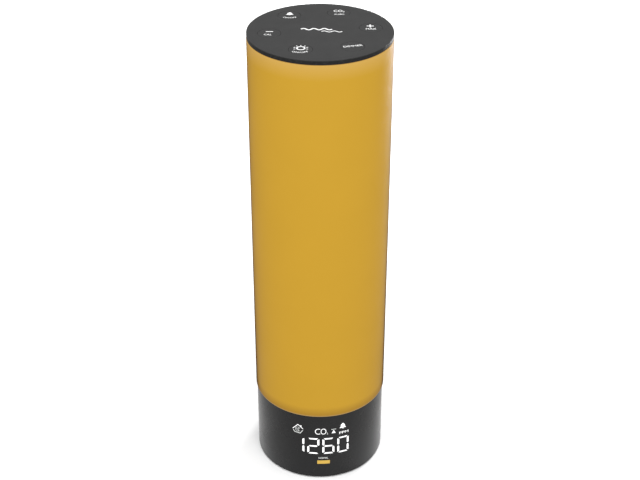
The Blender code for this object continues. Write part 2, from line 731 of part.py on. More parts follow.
def button():
    """A round key with a flange that keeps it under the cap and a stem over its switch."""
    profile = [
        (0, STEM_BOTTOM),
        (STEM_RADIUS, STEM_BOTTOM),
        (STEM_RADIUS, FLANGE_BOTTOM),
        (FLANGE_RADIUS, FLANGE_BOTTOM),
        (FLANGE_RADIUS, FLANGE_TOP),
        (BUTTON_RADIUS, FLANGE_TOP),
        (BUTTON_RADIUS, CAP_TOP - EDGE / 2),
        (BUTTON_RADIUS - EDGE / 2, CAP_TOP),
        (0, CAP_TOP),
    ]
    return turned(lowered(profile), BUTTON_ROUND)


def top_cap():
    """The cap: a flat face with a faint bevel to its sharp rim, a skirt inside the tube and screw bosses."""
    lip = TUBE_TOP + GAP
    body = turned(
        [
            (0, CAP_TOP),
            (FLAT_RADIUS, CAP_TOP),
            (RIM_RADIUS - EDGE / 2, RIM_TOP),
            (RIM_RADIUS, RIM_TOP - EDGE / 2),
            (RIM_RADIUS, lip + EDGE / 2),
            (RIM_RADIUS - EDGE / 2, lip),
            (SPIGOT_RADIUS, lip),
            (SPIGOT_RADIUS, SKIRT_BOTTOM + EDGE),
            (SPIGOT_RADIUS - EDGE, SKIRT_BOTTOM),
            (SPIGOT_RADIUS - SPIGOT_WALL, SKIRT_BOTTOM),
            (SPIGOT_RADIUS - SPIGOT_WALL, CAP_UNDERSIDE),
            (0, CAP_UNDERSIDE),
        ]
    )
    low = CARRIER_TOP + GAP
    bosses = rods(CAP_BOSS_RADIUS, low, CAP_UNDERSIDE + THROUGH, CAP_BOSS_CIRCLE, CAP_BOSS_ANGLES)
    pilots = rods(PILOT, low - THROUGH, CAP_UNDERSIDE - 0.0008, CAP_BOSS_CIRCLE, CAP_BOSS_ANGLES, SCREW_ROUND)
    low, high = CAP_UNDERSIDE - THROUGH, CAP_TOP + THROUGH
    holes = rods(BUTTON_RADIUS + GAP, low, high, BUTTON_CIRCLE, BUTTON_TURNS, BUTTON_ROUND)
    return cut(joined(body, bosses), pilots, holes)


def tube():
    low, high = BASE_TOP + GAP, TUBE_TOP
    return turned(
        [
            (TUBE_RADIUS - EDGE, low),
            (TUBE_RADIUS, low + EDGE),
            (TUBE_RADIUS, high - EDGE),
            (TUBE_RADIUS - EDGE, high),
            (TUBE_BORE + 2 * EDGE, high),
            (TUBE_BORE, high - 2 * EDGE),
            (TUBE_BORE, low + 2 * EDGE),
            (TUBE_BORE + 2 * EDGE, low),
        ]
    )


def cable_plug():
    """A small connector, 8 mm long, with its mouth up and a key along one side."""
    body = block((-0.0040, -0.0022, 0), (0.0040, 0.0022, 0.0030))
    well = block((-0.0034, -0.0016, PLUG_FLOOR), (0.0034, 0.0016, 0.0040))
    key = block((-0.0015, -PLUG_KEY, 0), (0.0015, -0.0018, 0.0024))
    return joined(cut(body, well), key)


def cable(name, points, radius, look):
    """A round lead along a smooth curve through the route's own points."""
    count = 44
    smooth = []
    for k in range(count + 1):
        at = k / count * (len(points) - 1)
        i = min(int(at), len(points) - 2)
        t = at - i
        before, start, end, after = (points[min(max(j, 0), len(points) - 1)] for j in (i - 1, i, i + 1, i + 2))
        smooth.append(
            tuple(
                s + 0.5 * t * (e - b + t * (2 * b - 5 * s + 4 * e - a + t * (3 * s - b - 3 * e + a)))
                for b, s, e, a in zip(before, start, end, after)
            )
        )
    curve = bpy.data.curves.new(name, "CURVE")
    curve.dimensions = "3D"
    curve.bevel_depth = radius
    curve.bevel_resolution = 2
    curve.use_fill_caps = True
    spline = curve.splines.new("POLY")
    spline.points.add(len(smooth) - 1)
    for point, place in zip(spline.points, smooth):
        point.co = (*place, 1)
    curve.materials.append(look)
    obj = bpy.data.objects.new(name, curve)
    bpy.context.scene.collection.objects.link(obj)


# Assembly


def build_base(looks):
    piece("base_housing", base_housing(), looks["smoked"])
    piece("base_plate", base_plate(), looks["dark"])
    foot = mesh_of("rubber_foot", rubber_foot(), looks["rubber"])
    fastener = mesh_of("base_screw", screw(0.0200), looks["steel"])
    for k, (foot_turn, screw_turn) in enumerate(zip(FOOT_ANGLES, BOSS_ANGLES), start=1):
        piece(f"rubber_foot_{k}", foot, None, (*polar(FOOT_CIRCLE, foot_turn), 0))
        piece(f"base_screw_{k}", fastener, None, (*polar(BOSS_CIRCLE, screw_turn), COUNTERBORE_TOP - GAP))


def build_electronics(looks):
    above = BOARD_TOP + GAP
    piece("main_board", main_board(), looks["board"])
    piece("microcontroller", chip(0.0090, 0.0014, 3), looks["chip"], (-0.0085, -0.0135, above))
    piece("usb_socket", usb_socket(), looks["steel"])
    piece("buzzer", buzzer(), looks["dark"], (-0.0225, 0.0010, above))
    piece("capacitor", capacitor(), looks["aluminium"], (-0.0120, 0.0150, above))
    piece("co2_sensor_pins", sensor_pins(), looks["dark"], (SENSOR_MIDDLE[0] - 0.0080, 0, 0))
    piece("co2_sensor_board", sensor_board(), looks["board"])
    piece("co2_sensor_chamber", sensor_chamber(), looks["gold"])
    piece("co2_sensor_filter", sensor_filter(), looks["white"])
    piece("display_board", display_board(), looks["board"])
    piece("display_reflector", display_reflector(), looks["white"])
    piece("display_film", display_film(), looks["smoked"])


def build_column(looks):
    piece("light_column", light_column(), looks["white"])
    strip = mesh_of("led_board", led_board(), looks["white"])
    out = COLUMN_SIDE / 2 + GAP
    for k, side in enumerate(("right", "rear", "left", "front")):
        turn = math.radians(90 * k)
        piece(f"led_board_{side}", strip, None, (*polar(out, turn), 0), turn)
    fastener = screw(0.0062, SMALL_SHANK, SMALL_HEAD, SMALL_HEAD_TALL)
    fastener = mesh_of("small_screw", fastener, looks["steel"])
    for k, x in enumerate((-COLUMN_SCREW_OUT, COLUMN_SCREW_OUT), start=1):
        piece(f"column_foot_screw_{k}", fastener, None, (x, 0, DECK_BOTTOM - GAP))
    for k, side in enumerate((-1, 1), start=1):
        sideways = piece(f"column_top_screw_{k}", fastener, None, (side * out, 0, TOP_SCREW_HEIGHT))
        sideways.rotation_euler = (0, -side * math.pi / 2, 0)


def build_top(looks):
    piece("button_board_carrier", carrier(), looks["white"])
    piece("button_board", button_board(), looks["board"])
    fastener = screw(0.0080, SMALL_SHANK, SMALL_HEAD, SMALL_HEAD_TALL)
    fastener = mesh_of("carrier_screw", fastener, looks["steel"])
    for k, turn in enumerate(CAP_BOSS_ANGLES, start=1):
        piece(f"carrier_screw_{k}", fastener, None, (*polar(CAP_BOSS_CIRCLE, turn), CARRIER_BOTTOM - GAP))
    switch = mesh_of("tact_switch", switch_body(), looks["dark"])
    pusher = mesh_of("switch_plunger", plunger(), looks["white"])
    key = mesh_of("button", button(), looks["cap"])
    for name, turn in zip(BUTTON_NAMES, BUTTON_TURNS):
        x, y = polar(BUTTON_CIRCLE, turn)
        axis = bpy.data.objects.new(f"{name}_button_axis", None)
        axis.location = (x, y, CAP_TOP)
        bpy.context.scene.collection.objects.link(axis)
        piece(f"tact_switch_{name}", switch, None, (x, y, 0))
        for obj in (piece(f"switch_plunger_{name}", pusher, None), piece(f"button_{name}", key, None)):
            obj.parent = axis
    piece("top_cap", top_cap(), looks["cap"])


def build_cables(looks):
    plug = mesh_of("cable_plug", cable_plug(), looks["white"])
    lower = (0.0, -0.0040, BOARD_TOP + GAP)
    upper = (0.0, 0.0120, KEY_BOARD_TOP + GAP + PLUG_KEY)
    piece("cable_plug_lower", plug, None, lower)
    lying = piece("cable_plug_upper", plug, None, upper)
    lying.rotation_euler = (math.pi / 2, 0, 0)
    reach = PLUG_FLOOR + GAP
    route = [
        (0.0, lower[1], lower[2] + reach),
        (0.0, lower[1], 0.0240),
        (0.0, -0.0020, 0.0340),
        (0.0, 0.0, 0.0460),
        (0.0, 0.0, 0.0950),
        (0.0, 0.0, 0.1450),
        (0.0, 0.0, 0.1950),
        (0.0, 0.0, KEY_BOARD_BOTTOM - 0.0030),
        (0.0, 0.0006, KEY_BOARD_TOP),
        (0.0, 0.0032, upper[2]),
        (0.0, upper[1] - reach, upper[2]),
    ]
    cable("column_cable", route, CABLE_RADIUS, looks["cable"])


def main():
    clear_scene()
    looks = {
        "smoked": material("smoked_polycarbonate", (0.030, 0.030, 0.032), 0.35),
        "cap": material("cap_plastic", (0.055, 0.055, 0.056), 0.50),
        "dark": material("black_plastic", (0.020, 0.020, 0.021), 0.55),
        "opal": material("opal_tube", (0.630, 0.366, 0.048), 0.30),
        "white": material("white_plastic", (0.800, 0.800, 0.780), 0.50),
        "rubber": material("rubber", (0.015, 0.015, 0.015), 0.85),
        "steel": material("plated_steel", (0.550, 0.550, 0.560), 0.30, 1.0),
        "aluminium": material("aluminium", (0.700, 0.700, 0.720), 0.35, 1.0),
        "gold": material("gold_plated_cell", (0.760, 0.560, 0.240), 0.30, 1.0),
        "board": material("circuit_board", (0.010, 0.090, 0.040), 0.45),
        "chip": material("chip_epoxy", (0.012, 0.012, 0.013), 0.60),
        "cable": material("cable_jacket", (0.600, 0.600, 0.600), 0.50),
    }
    build_base(looks)
    build_electronics(looks)
    build_column(looks)
    build_top(looks)
    build_cables(looks)
    piece("diffuser_tube", tube(), looks["opal"])


main()
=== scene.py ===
"""The looks of the carbon dioxide monitor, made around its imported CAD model.

Lengths are in metres, +Z is up and the display faces -Y, as in the CAD model. Flat marks are drawn in
millimetres. The large shells, the buttons, the feet, the case screws and the socket are made again here
with fine, rounded edges. The inner pieces keep their CAD shapes.
"""

import math

import bmesh
import bpy
from mathutils import Matrix, Vector


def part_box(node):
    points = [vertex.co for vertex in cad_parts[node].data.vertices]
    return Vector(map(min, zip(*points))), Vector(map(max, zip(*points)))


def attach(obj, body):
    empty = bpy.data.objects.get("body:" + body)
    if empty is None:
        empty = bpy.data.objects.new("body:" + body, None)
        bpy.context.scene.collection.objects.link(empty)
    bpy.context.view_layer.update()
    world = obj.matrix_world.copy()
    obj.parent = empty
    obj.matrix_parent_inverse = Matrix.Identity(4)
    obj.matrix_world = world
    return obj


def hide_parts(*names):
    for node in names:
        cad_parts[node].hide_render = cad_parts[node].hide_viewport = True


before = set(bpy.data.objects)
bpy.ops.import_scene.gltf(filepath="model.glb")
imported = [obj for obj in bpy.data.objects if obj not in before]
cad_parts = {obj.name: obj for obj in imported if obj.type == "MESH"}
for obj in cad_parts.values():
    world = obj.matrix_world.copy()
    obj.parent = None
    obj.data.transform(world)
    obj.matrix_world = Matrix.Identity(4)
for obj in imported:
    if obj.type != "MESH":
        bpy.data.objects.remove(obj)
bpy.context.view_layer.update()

MM = 0.001
GAP = 0.0003  # between pieces that touch or slide
PAST = 0.001  # how far a cutter, or a piece to be joined, runs past a face
CLEAR = 0.004  # the same where the face is curved
WELD = 1e-6
SIDES = 192  # of the large round shells
BUTTON_SIDES = 96
SMALL_SIDES = 48
FILLET_STEPS = 4
SHARP = math.radians(32)

# From the frame
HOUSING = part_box("base_housing")
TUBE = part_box("diffuser_tube")
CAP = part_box("top_cap")
BASE_RADIUS = HOUSING[1].x
BASE_TOP = TUBE[0].z - GAP
FOOT_DROP = HOUSING[0].z
SPIGOT_TOP = HOUSING[1].z
TUBE_RADIUS = TUBE[1].x
CAP_TOP = CAP[1].z

# Walls, as the CAD model has them
SHELL_WALL = 0.0020
SPIGOT_WALL = 0.0019
SPIGOT_PLAY = 0.0004
DECK_THICK = 0.0025
CAP_THICK = 0.0029
RIM_DROP = 0.0002
BASE_BORE = BASE_RADIUS - SHELL_WALL
TUBE_BORE = TUBE_RADIUS - SHELL_WALL
SPIGOT_RADIUS = TUBE_BORE - SPIGOT_PLAY
SPIGOT_BORE = SPIGOT_RADIUS - SPIGOT_WALL
WIRE_HOLE = 0.0060
DECK_BOTTOM = BASE_TOP - DECK_THICK
RIM_TOP = CAP_TOP - RIM_DROP
RIM_RADIUS = CAP[1].x
FLAT_RADIUS = 0.0334
CAP_UNDERSIDE = CAP_TOP - CAP_THICK
SKIRT_BOTTOM = CAP[0].z
BUTTONS = ("plus", "co2_alarm", "bell", "minus", "light", "dimmer")
BUTTON_RADIUS = 0.00565
BUTTON_PLAY = 0.00012  # narrower than in the CAD model, so that it shows as a hairline
BUTTON_HOLE = BUTTON_RADIUS + BUTTON_PLAY
FLANGE_RADIUS = 0.0065
FLANGE_THICK = 0.0010
STEM_RADIUS = 0.0022
CAP_BOSS_RADIUS = 0.0029
CAP_PILOT = 0.00145
CAP_PILOT_STOP = 0.0008  # below the underside of the cap
BOSS_RADIUS = 0.0032
SCREW_HOLE = 0.0016
PILOT_DEEP = 0.0138
COUNTERBORE = 0.0031

# Marks
INK = 0.00003  # how far printed and lit marks stand proud
DISPLAY_LIFT = 0.00002
CAP_FACE = CAP_TOP - INK  # so that the prints on it end at the top of the CAD's box
STRIP = 1.0  # in millimetres, of the strips that let a mark follow a curve
TYPE_SIZE = 10
TYPE_STEPS = 5
TYPE_WELD = 0.001
STROKE_LIMIT = 0.4  # keeps the mitre of a sharp corner short

# Camera, measured from the axis of the tube and from the floor
CAMERA_BACK = 0.5893
CAMERA_HEIGHT = 0.4957
CAMERA_TILT = 0.5491  # down from level, in radians
CAMERA_ROLL = 0.0010
CAMERA_LENS = 73.1
CAMERA_CLIP = (0.01, 20)

# Studio: place, target, width, height and power of each light
OVERHEAD_LIGHT = (0, -0.9, 1.9), (0, 0, 0), 2.0, 2.0, 40.0
EDGE_LIGHT = (0.50, 0.72, 0.12), (0.05, 0.10, 0.04), 0.30, 0.22, 16.0
SKY = 0.8
FLOOR_HALF = 4.0


# Shapes -------------------------------------------------------------------------------------------


def tidied(solid):
    bmesh.ops.remove_doubles(solid, verts=solid.verts, dist=WELD)
    bmesh.ops.recalc_face_normals(solid, faces=solid.faces)
    return solid


def filleted(corners, closed):
    """(radius, height) points through (radius, height, fillet) corners, with each fillet as an arc."""
    path = []
    count = len(corners)
    for k, (radius, height, fillet) in enumerate(corners):
        here = Vector((radius, height))
        if not fillet or (not closed and k in (0, count - 1)):
            path.append(tuple(here))
            continue
        before = Vector(corners[k - 1][:2])
        after = Vector(corners[(k + 1) % count][:2])
        towards, away = (before - here).normalized(), (after - here).normalized()
        half = towards.angle(away) / 2
        reach = fillet / math.tan(half)
        start, end = here + towards * reach, here + away * reach
        centre = here + (towards + away).normalized() * (fillet / math.sin(half))
        sweep = (start - centre).angle_signed(end - centre)
        for step in range(FILLET_STEPS + 1):
            spoke = (start - centre).copy()
            spoke.rotate(Matrix.Rotation(-sweep * step / FILLET_STEPS, 2))
            path.append(tuple(centre + spoke))
    return path


def turned(corners, sides=SIDES, closed=False):
    """A solid turned about Z from corners of (radius, height, fillet)."""
    solid = bmesh.new()
    rings = []
    for radius, height in filleted(corners, closed):
        outline = circle(radius, sides if radius > WELD else 1)
        rings.append([solid.verts.new((x, y, height)) for x, y in outline])
    pairs = list(zip(rings, rings[1:]))
    if closed:
        pairs.append((rings[-1], rings[0]))
    for first, second in pairs:
        for k in range(sides):
            corner = [first[k % len(first)], first[(k + 1) % len(first)]]
            corner += [second[(k + 1) % len(second)], second[k % len(second)]]
            solid.faces.new(dict.fromkeys(corner))
    return tidied(solid)


def prism(outline, low, high):
    """A solid with a flat outline of (x, y) points, from height low to height high."""
    solid = bmesh.new()
    face = solid.faces.new([solid.verts.new((x, y, low)) for x, y in outline])
    raised = bmesh.ops.extrude_face_region(solid, geom=[face])["geom"]
    points = [item for item in raised if isinstance(item, bmesh.types.BMVert)]
    bmesh.ops.translate(solid, verts=points, vec=(0, 0, high - low))
    return tidied(solid)


def box_outline(left, low, right, high):
    return [(left, low), (right, low), (right, high), (left, high)]


def circle(radius, sides=SMALL_SIDES, centre=(0, 0)):
    turns = [math.tau * k / sides for k in range(sides)]
    return [(centre[0] + radius * math.cos(t), centre[1] + radius * math.sin(t)) for t in turns]


def rod(radius, low, high, centre=(0, 0), sides=SMALL_SIDES):
    return prism(circle(radius, sides, centre), low, high)


def rounded_rectangle(wide, tall, corner, steps=6):
    points = []
    for quarter, (x, y) in enumerate(((1, 1), (-1, 1), (-1, -1), (1, -1))):
        for step in range(steps + 1):
            turn = math.pi / 2 * (quarter + step / steps)
            across, up = x * (wide / 2 - corner), y * (tall / 2 - corner)
            points.append((across + corner * math.cos(turn), up + corner * math.sin(turn)))
    return points


def slot_outline(wide, long, steps=8):
    """A slot with round ends, its length along Y."""
    radius, reach = wide / 2, (long - wide) / 2
    turns = [math.pi * k / steps for k in range(steps + 1)]
    upper = [(radius * math.cos(t), reach + radius * math.sin(t)) for t in turns]
    return upper + [(-x, -y) for x, y in upper]


def placed(solid, matrix):
    bmesh.ops.transform(solid, matrix=matrix, verts=solid.verts)
    return solid


def facing_rear(solid, height):
    """Turns a solid drawn in the XY plane, and rising in Z, to stand upright and run out along +Y."""
    placed(solid, Matrix.Translation((0, 0, height)) @ Matrix.Rotation(math.radians(-90), 4, "X"))
    return tidied(solid)


def merged(solids):
    """Several solids as one set of shapes."""
    together = bmesh.new()
    for solid in solids:
        mesh = bpy.data.meshes.new("part")
        solid.to_mesh(mesh)
        together.from_mesh(mesh)
        bpy.data.meshes.remove(mesh)
        solid.free()
    return together


def boolean(first, second, operation):
    """One solid joined to, or cut by, another. Slivers that the cut leaves are dissolved."""
    pair = []
    for solid in (first, second):
        mesh = bpy.data.meshes.new("operand")
        solid.to_mesh(mesh)
        solid.free()
        obj = bpy.data.objects.new("operand", mesh)
        bpy.context.scene.collection.objects.link(obj)
        pair.append(obj)
    modifier = pair[0].modifiers.new("boolean", "BOOLEAN")
    modifier.operation = operation
    modifier.solver = "EXACT"
    modifier.object = pair[1]
    result = bmesh.new()
    result.from_object(pair[0], bpy.context.evaluated_depsgraph_get())
    for obj in pair:
        mesh = obj.data
        bpy.data.objects.remove(obj)
        bpy.data.meshes.remove(mesh)
    bmesh.ops.remove_doubles(result, verts=result.verts, dist=WELD)
    bmesh.ops.dissolve_degenerate(result, edges=result.edges, dist=WELD)
    return result


def joined(first, *others):
    for other in others:
        first = boolean(first, other, "UNION")
    return first


def cut(solid, *tools):
    for tool in tools:
        solid = boolean(solid, tool, "DIFFERENCE")
    return solid


def middle_of(node):
    low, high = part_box(node)
    return (low + high) / 2


def show(name, solid, look, body="housing", stands_for=()):
    """Makes one piece from a bmesh, and lets it ride on its body."""
    mesh = bpy.data.meshes.new(name)
    solid.to_mesh(mesh)
    solid.free()
    mesh.materials.append(look)
    mesh.shade_smooth()
    mesh.set_sharp_from_angle(angle=SHARP)
    obj = bpy.data.objects.new(name, mesh)
    bpy.context.scene.collection.objects.link(obj)
    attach(obj, body)
    if stands_for:
        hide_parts(*stands_for)


# Flat marks, drawn in millimetres -----------------------------------------------------------------


def flat_shape(*outlines):
    """A flat bmesh of one face for each outline of (x, y) points."""
    flat = bmesh.new()
    for outline in outlines:
        flat.faces.new([flat.verts.new((x, y, 0)) for x, y in outline])
    bmesh.ops.recalc_face_normals(flat, faces=flat.faces)
    return flat


def stroke(points, width, closed=False):
    """A flat ribbon of even width along a line of (x, y) points, mitred at its corners."""
    line = [Vector(p) for p in points]
    count = len(line)
    flat = bmesh.new()
    sides = []
    for k, here in enumerate(line):
        before = line[k - 1] if closed or k else here
        after = line[(k + 1) % count] if closed or k < count - 1 else here
        arriving = (here - before).normalized() if before != here else (after - here).normalized()
        leaving = (after - here).normalized() if after != here else arriving
        along = (arriving + leaving).normalized()
        across = Vector((-along.y, along.x))
        spread = width / 2 / max(STROKE_LIMIT, across.dot(Vector((-arriving.y, arriving.x))))
        sides.append([flat.verts.new((*(here + across * s * spread), 0)) for s in (-1, 1)])
    pairs = list(zip(sides, sides[1:]))
    if closed:
        pairs.append((sides[-1], sides[0]))
    for (a, b), (c, d) in pairs:
        flat.faces.new((a, c, d, b))
    return flat


def arc(radius, start, end, steps, centre=(0, 0)):
    """Points along an arc, its angles in degrees counted from +X."""
    turns = [math.radians(start + (end - start) * k / steps) for k in range(steps + 1)]
    return [(centre[0] + radius * math.cos(t), centre[1] + radius * math.sin(t)) for t in turns]


def ring_shape(radius, width):
    return stroke(arc(radius, 0, 360 - 360 / SMALL_SIDES, SMALL_SIDES - 1), width, closed=True)


def shifted(flat, x, y, turn=0.0):
    return placed(flat, Matrix.Translation((x, y, 0)) @ Matrix.Rotation(math.radians(turn), 4, "Z"))


def lettering(text, tall, wide, weight=0.0):
    """Words in the plain built-in type as a flat shape of this size, centred on the origin."""
    curve = bpy.data.curves.new("words", "FONT")
    curve.body = text
    curve.size = TYPE_SIZE
    curve.offset = weight
    curve.resolution_u = TYPE_STEPS
    obj = bpy.data.objects.new("words", curve)
    bpy.context.scene.collection.objects.link(obj)
    mesh = bpy.data.meshes.new_from_object(obj.evaluated_get(bpy.context.evaluated_depsgraph_get()))
    flat = bmesh.new()
    flat.from_mesh(mesh)
    bpy.data.objects.remove(obj)
    bpy.data.curves.remove(curve)
    bpy.data.meshes.remove(mesh)
    bmesh.ops.remove_doubles(flat, verts=flat.verts, dist=TYPE_WELD)
    xs = [v.co.x for v in flat.verts]
    ys = [v.co.y for v in flat.verts]
    up = tall / (max(ys) - min(ys))
    across = wide / (max(xs) - min(xs))
    centre = Vector(((max(xs) + min(xs)) / 2, (max(ys) + min(ys)) / 2, 0))
    return placed(flat, Matrix.Diagonal((across, up, 1, 1)) @ Matrix.Translation(-centre))


def smiling(flat, radius):
    """Bends a flat mark round the lower side of a circle that it stands on."""
    for vert in flat.verts:
        turn = vert.co.x / radius
        reach = radius - vert.co.y
        vert.co.x, vert.co.y = reach * math.sin(turn), radius - reach * math.cos(turn)
    return flat


def plate(flat, thick):
    """A flat mark given a thickness, still in millimetres."""
    bmesh.ops.recalc_face_normals(flat, faces=flat.faces)
    for face in flat.faces:
        if face.normal.z < 0:
            face.normal_flip()
    raised = bmesh.ops.extrude_face_region(flat, geom=list(flat.faces))["geom"]
    points = [item for item in raised if isinstance(item, bmesh.types.BMVert)]
    bmesh.ops.translate(flat, verts=points, vec=(0, 0, thick))
    bmesh.ops.recalc_face_normals(flat, faces=flat.faces)
    return flat


def sliced(flat):
    """Cuts a flat mark into upright strips, so that it can follow a curve."""
    reach = max(abs(v.co.x) for v in flat.verts)
    at = -math.ceil(reach / STRIP) * STRIP
    while at < reach:
        geom = list(flat.verts) + list(flat.edges) + list(flat.faces)
        bmesh.ops.bisect_plane(flat, geom=geom, plane_co=(at, 0, 0), plane_no=(1, 0, 0), dist=0.0001)
        at += STRIP
    return flat


def on_housing(flat):
    """Wraps a mark drawn in millimetres, across and up, round the front of the housing."""
    solid = plate(sliced(flat), INK / MM)
    for vert in solid.verts:
        turn = vert.co.x * MM / BASE_RADIUS
        reach = BASE_RADIUS + DISPLAY_LIFT + vert.co.z * MM
        vert.co = (reach * math.sin(turn), -reach * math.cos(turn), vert.co.y * MM)
    bmesh.ops.recalc_face_normals(solid, faces=solid.faces)
    return solid


def on_cap(flat, x, y):
    """Lays a mark drawn in millimetres on the level face of the cap and the buttons."""
    solid = plate(flat, INK / MM)
    return placed(solid, Matrix.Translation((x, y, CAP_FACE)) @ Matrix.Diagonal((MM, MM, MM, 1)))


# Materials ----------------------------------------------------------------------------------------


NOISE_ROUGHNESS = 0.55
BUMP_STRENGTH = 0.5


class Looks:
    """One node material: a Principled shader fed by procedural textures in the object's own metres."""

    def __init__(self, name, roughness, specular=0.5, metallic=0.0):
        self.material = bpy.data.materials.new(name)
        self.material.use_nodes = True
        self.nodes = self.material.node_tree.nodes
        self.links = self.material.node_tree.links
        self.shader = self.nodes["Principled BSDF"]
        self.shader.inputs["Roughness"].default_value = roughness
        self.shader.inputs["Specular IOR Level"].default_value = specular
        self.shader.inputs["Metallic"].default_value = metallic
        self.roughness = roughness
        self.place = self.nodes.new("ShaderNodeTexCoord").outputs["Object"]

    def stretched(self, scale):
        mapping = self.nodes.new("ShaderNodeMapping")
        mapping.inputs["Scale"].default_value = scale
        self.links.new(self.place, mapping.inputs["Vector"])
        return mapping.outputs["Vector"]

    def noise(self, size, detail, stretch=None):
        """Noise whose cells are about size across."""
        node = self.nodes.new("ShaderNodeTexNoise")
        node.inputs["Scale"].default_value = 1 / size
        node.inputs["Detail"].default_value = detail
        node.inputs["Roughness"].default_value = NOISE_ROUGHNESS
        self.links.new(self.stretched(stretch) if stretch else self.place, node.inputs["Vector"])
        return node.outputs["Fac"]

    def ranged(self, value, low, high, to_low, to_high):
        node = self.nodes.new("ShaderNodeMapRange")
        node.interpolation_type = "SMOOTHSTEP"
        limits = {"From Min": low, "From Max": high, "To Min": to_low, "To Max": to_high}
        for key, limit in limits.items():
            node.inputs[key].default_value = limit
        self.links.new(value, node.inputs["Value"])
        return node.outputs["Result"]

    def times(self, first, second):
        node = self.nodes.new("ShaderNodeMath")
        node.operation = "MULTIPLY"
        self.links.new(first, node.inputs[0])
        self.links.new(second, node.inputs[1])
        return node.outputs["Value"]

    def axis(self, name):
        node = self.nodes.new("ShaderNodeSeparateXYZ")
        self.links.new(self.place, node.inputs["Vector"])
        return node.outputs[name]

    def reach(self):
        """Distance from the tube's axis."""
        flat = self.stretched((1, 1, 0))
        node = self.nodes.new("ShaderNodeVectorMath")
        node.operation = "LENGTH"
        self.links.new(flat, node.inputs[0])
        return node.outputs["Value"]

    def mixed(self, amount, first, second):
        """Mixes two colours, or the output of a node for either."""
        node = self.nodes.new("ShaderNodeMix")
        node.data_type = "RGBA"
        self.links.new(amount, node.inputs["Factor"])
        for key, colour in (("A", first), ("B", second)):
            socket = next(s for s in node.inputs if s.name == key and s.type == "RGBA")
            if isinstance(colour, tuple):
                socket.default_value = (*colour, 1)
            else:
                self.links.new(colour, socket)
        return next(s for s in node.outputs if s.type == "RGBA")

    def ramp(self, value, stops):
        node = self.nodes.new("ShaderNodeValToRGB")
        while len(node.color_ramp.elements) < len(stops):
            node.color_ramp.elements.new(0.5)
        for element, (at, colour) in zip(node.color_ramp.elements, stops):
            element.position = at
            element.color = (*colour, 1)
        self.links.new(value, node.inputs["Fac"])
        return node.outputs["Color"]

    def feed(self, output, key="Base Color"):
        """Feeds the shader's base colour, or another of its inputs."""
        self.links.new(output, self.shader.inputs[key])

    def rough(self, spread, size):
        """Uneven gloss, as handling leaves it."""
        low, high = self.roughness - spread, self.roughness + spread
        self.feed(self.ranged(self.noise(size, 4), 0.3, 0.7, low, high), "Roughness")

    def bumps(self, heights, depth):
        node = self.nodes.new("ShaderNodeBump")
        node.inputs["Strength"].default_value = BUMP_STRENGTH
        node.inputs["Distance"].default_value = depth
        self.links.new(heights, node.inputs["Height"])
        self.links.new(node.outputs["Normal"], self.shader.inputs["Normal"])


def scaled(colour, amount):
    return tuple(min(1.0, c * amount) for c in colour)


def moulded(name, colour, roughness, grain=0.0004, depth=0.00001, spread=0.05, specular=0.5, vary=0.12):
    """Moulded plastic or rubber with a fine spark-eroded grain."""
    look = Looks(name, roughness, specular)
    look.feed(look.mixed(look.noise(0.006, 5), scaled(colour, 1 - vary), scaled(colour, 1 + vary)))
    look.rough(spread, 0.014)
    look.bumps(look.noise(grain, 2), depth)
    return look.material


def housing_look():
    """Smoked polycarbonate: nearly black, satin, a little rubbed along its lower rim."""
    colour = (0.0100, 0.0100, 0.0103)
    look = Looks("smoked_polycarbonate", 0.27, 0.17)
    body = look.mixed(look.noise(0.009, 5), scaled(colour, 0.8), scaled(colour, 1.2))
    low_edge = look.ranged(look.axis("Z"), FOOT_DROP, FOOT_DROP + 0.0008, 1.0, 0.0)
    patches = look.ranged(look.noise(0.0011, 6), 0.5, 0.7, 0.0, 0.5)
    look.feed(look.mixed(look.times(low_edge, patches), body, (0.03, 0.03, 0.03)))
    look.rough(0.035, 0.020)
    look.bumps(look.noise(0.00035, 2), 0.000004)
    return look.material


def cap_look(name, roughness):
    """Dark plastic with a fine matt grain, rubbed at the rim; its level face has painted light, paler
    than its side.
    """
    # The side and the level face are lit and shaded copies of one plastic. The face is painted paler as
    # painted light from above, on the cap and on the buttons' tops.
    side, face = (0.0165, 0.0165, 0.0165), (0.0450, 0.0450, 0.0450)
    look = Looks(name, roughness, 0.02)
    # This mask switches from the painted shade of the side to the painted light of the level face.
    level = look.ranged(look.axis("Z"), RIM_TOP - 0.0006, RIM_TOP, 0.0, 1.0)
    shades = look.noise(0.007, 5)
    side_tones_painted_shade = look.mixed(shades, scaled(side, 0.8), scaled(side, 1.25))
    face_tones_painted_light = look.mixed(shades, scaled(face, 0.92), scaled(face, 1.08))
    body = look.mixed(level, side_tones_painted_shade, face_tones_painted_light)
    rim = look.ranged(look.reach(), RIM_RADIUS - 0.0004, RIM_RADIUS, 0.0, 1.0)
    patches = look.ranged(look.noise(0.0014, 6), 0.5, 0.72, 0.0, 0.5)
    look.feed(look.mixed(look.times(rim, patches), body, (0.035, 0.035, 0.035)))
    look.rough(0.04, 0.012)
    look.bumps(look.noise(0.00028, 2), 0.000009)
    return look.material


TUBE_GLOW = 0.90  # the tube's own light, as a share of its colour
TUBE_COLOUR = (0.612, 0.312, 0.014)
# Painted light and shade along the glow: the pale line over the lowest half millimetre is a painted
# highlight, the darker colour up to 6 mm from the foot is painted shade, and the paler colour over the
# top 8 mm is painted light.
TUBE_GLOW_PAINTED_SHADING = (  # distance from the nearer end, and the colour there
    ("low", 0.00045, (0.480, 0.330, 0.180)),
    ("low", 0.00060, (0.370, 0.155, 0.008)),
    ("low", 0.0060, TUBE_COLOUR),
    ("high", 0.0080, TUBE_COLOUR),
    ("high", 0.0000, (0.690, 0.390, 0.095)),
)


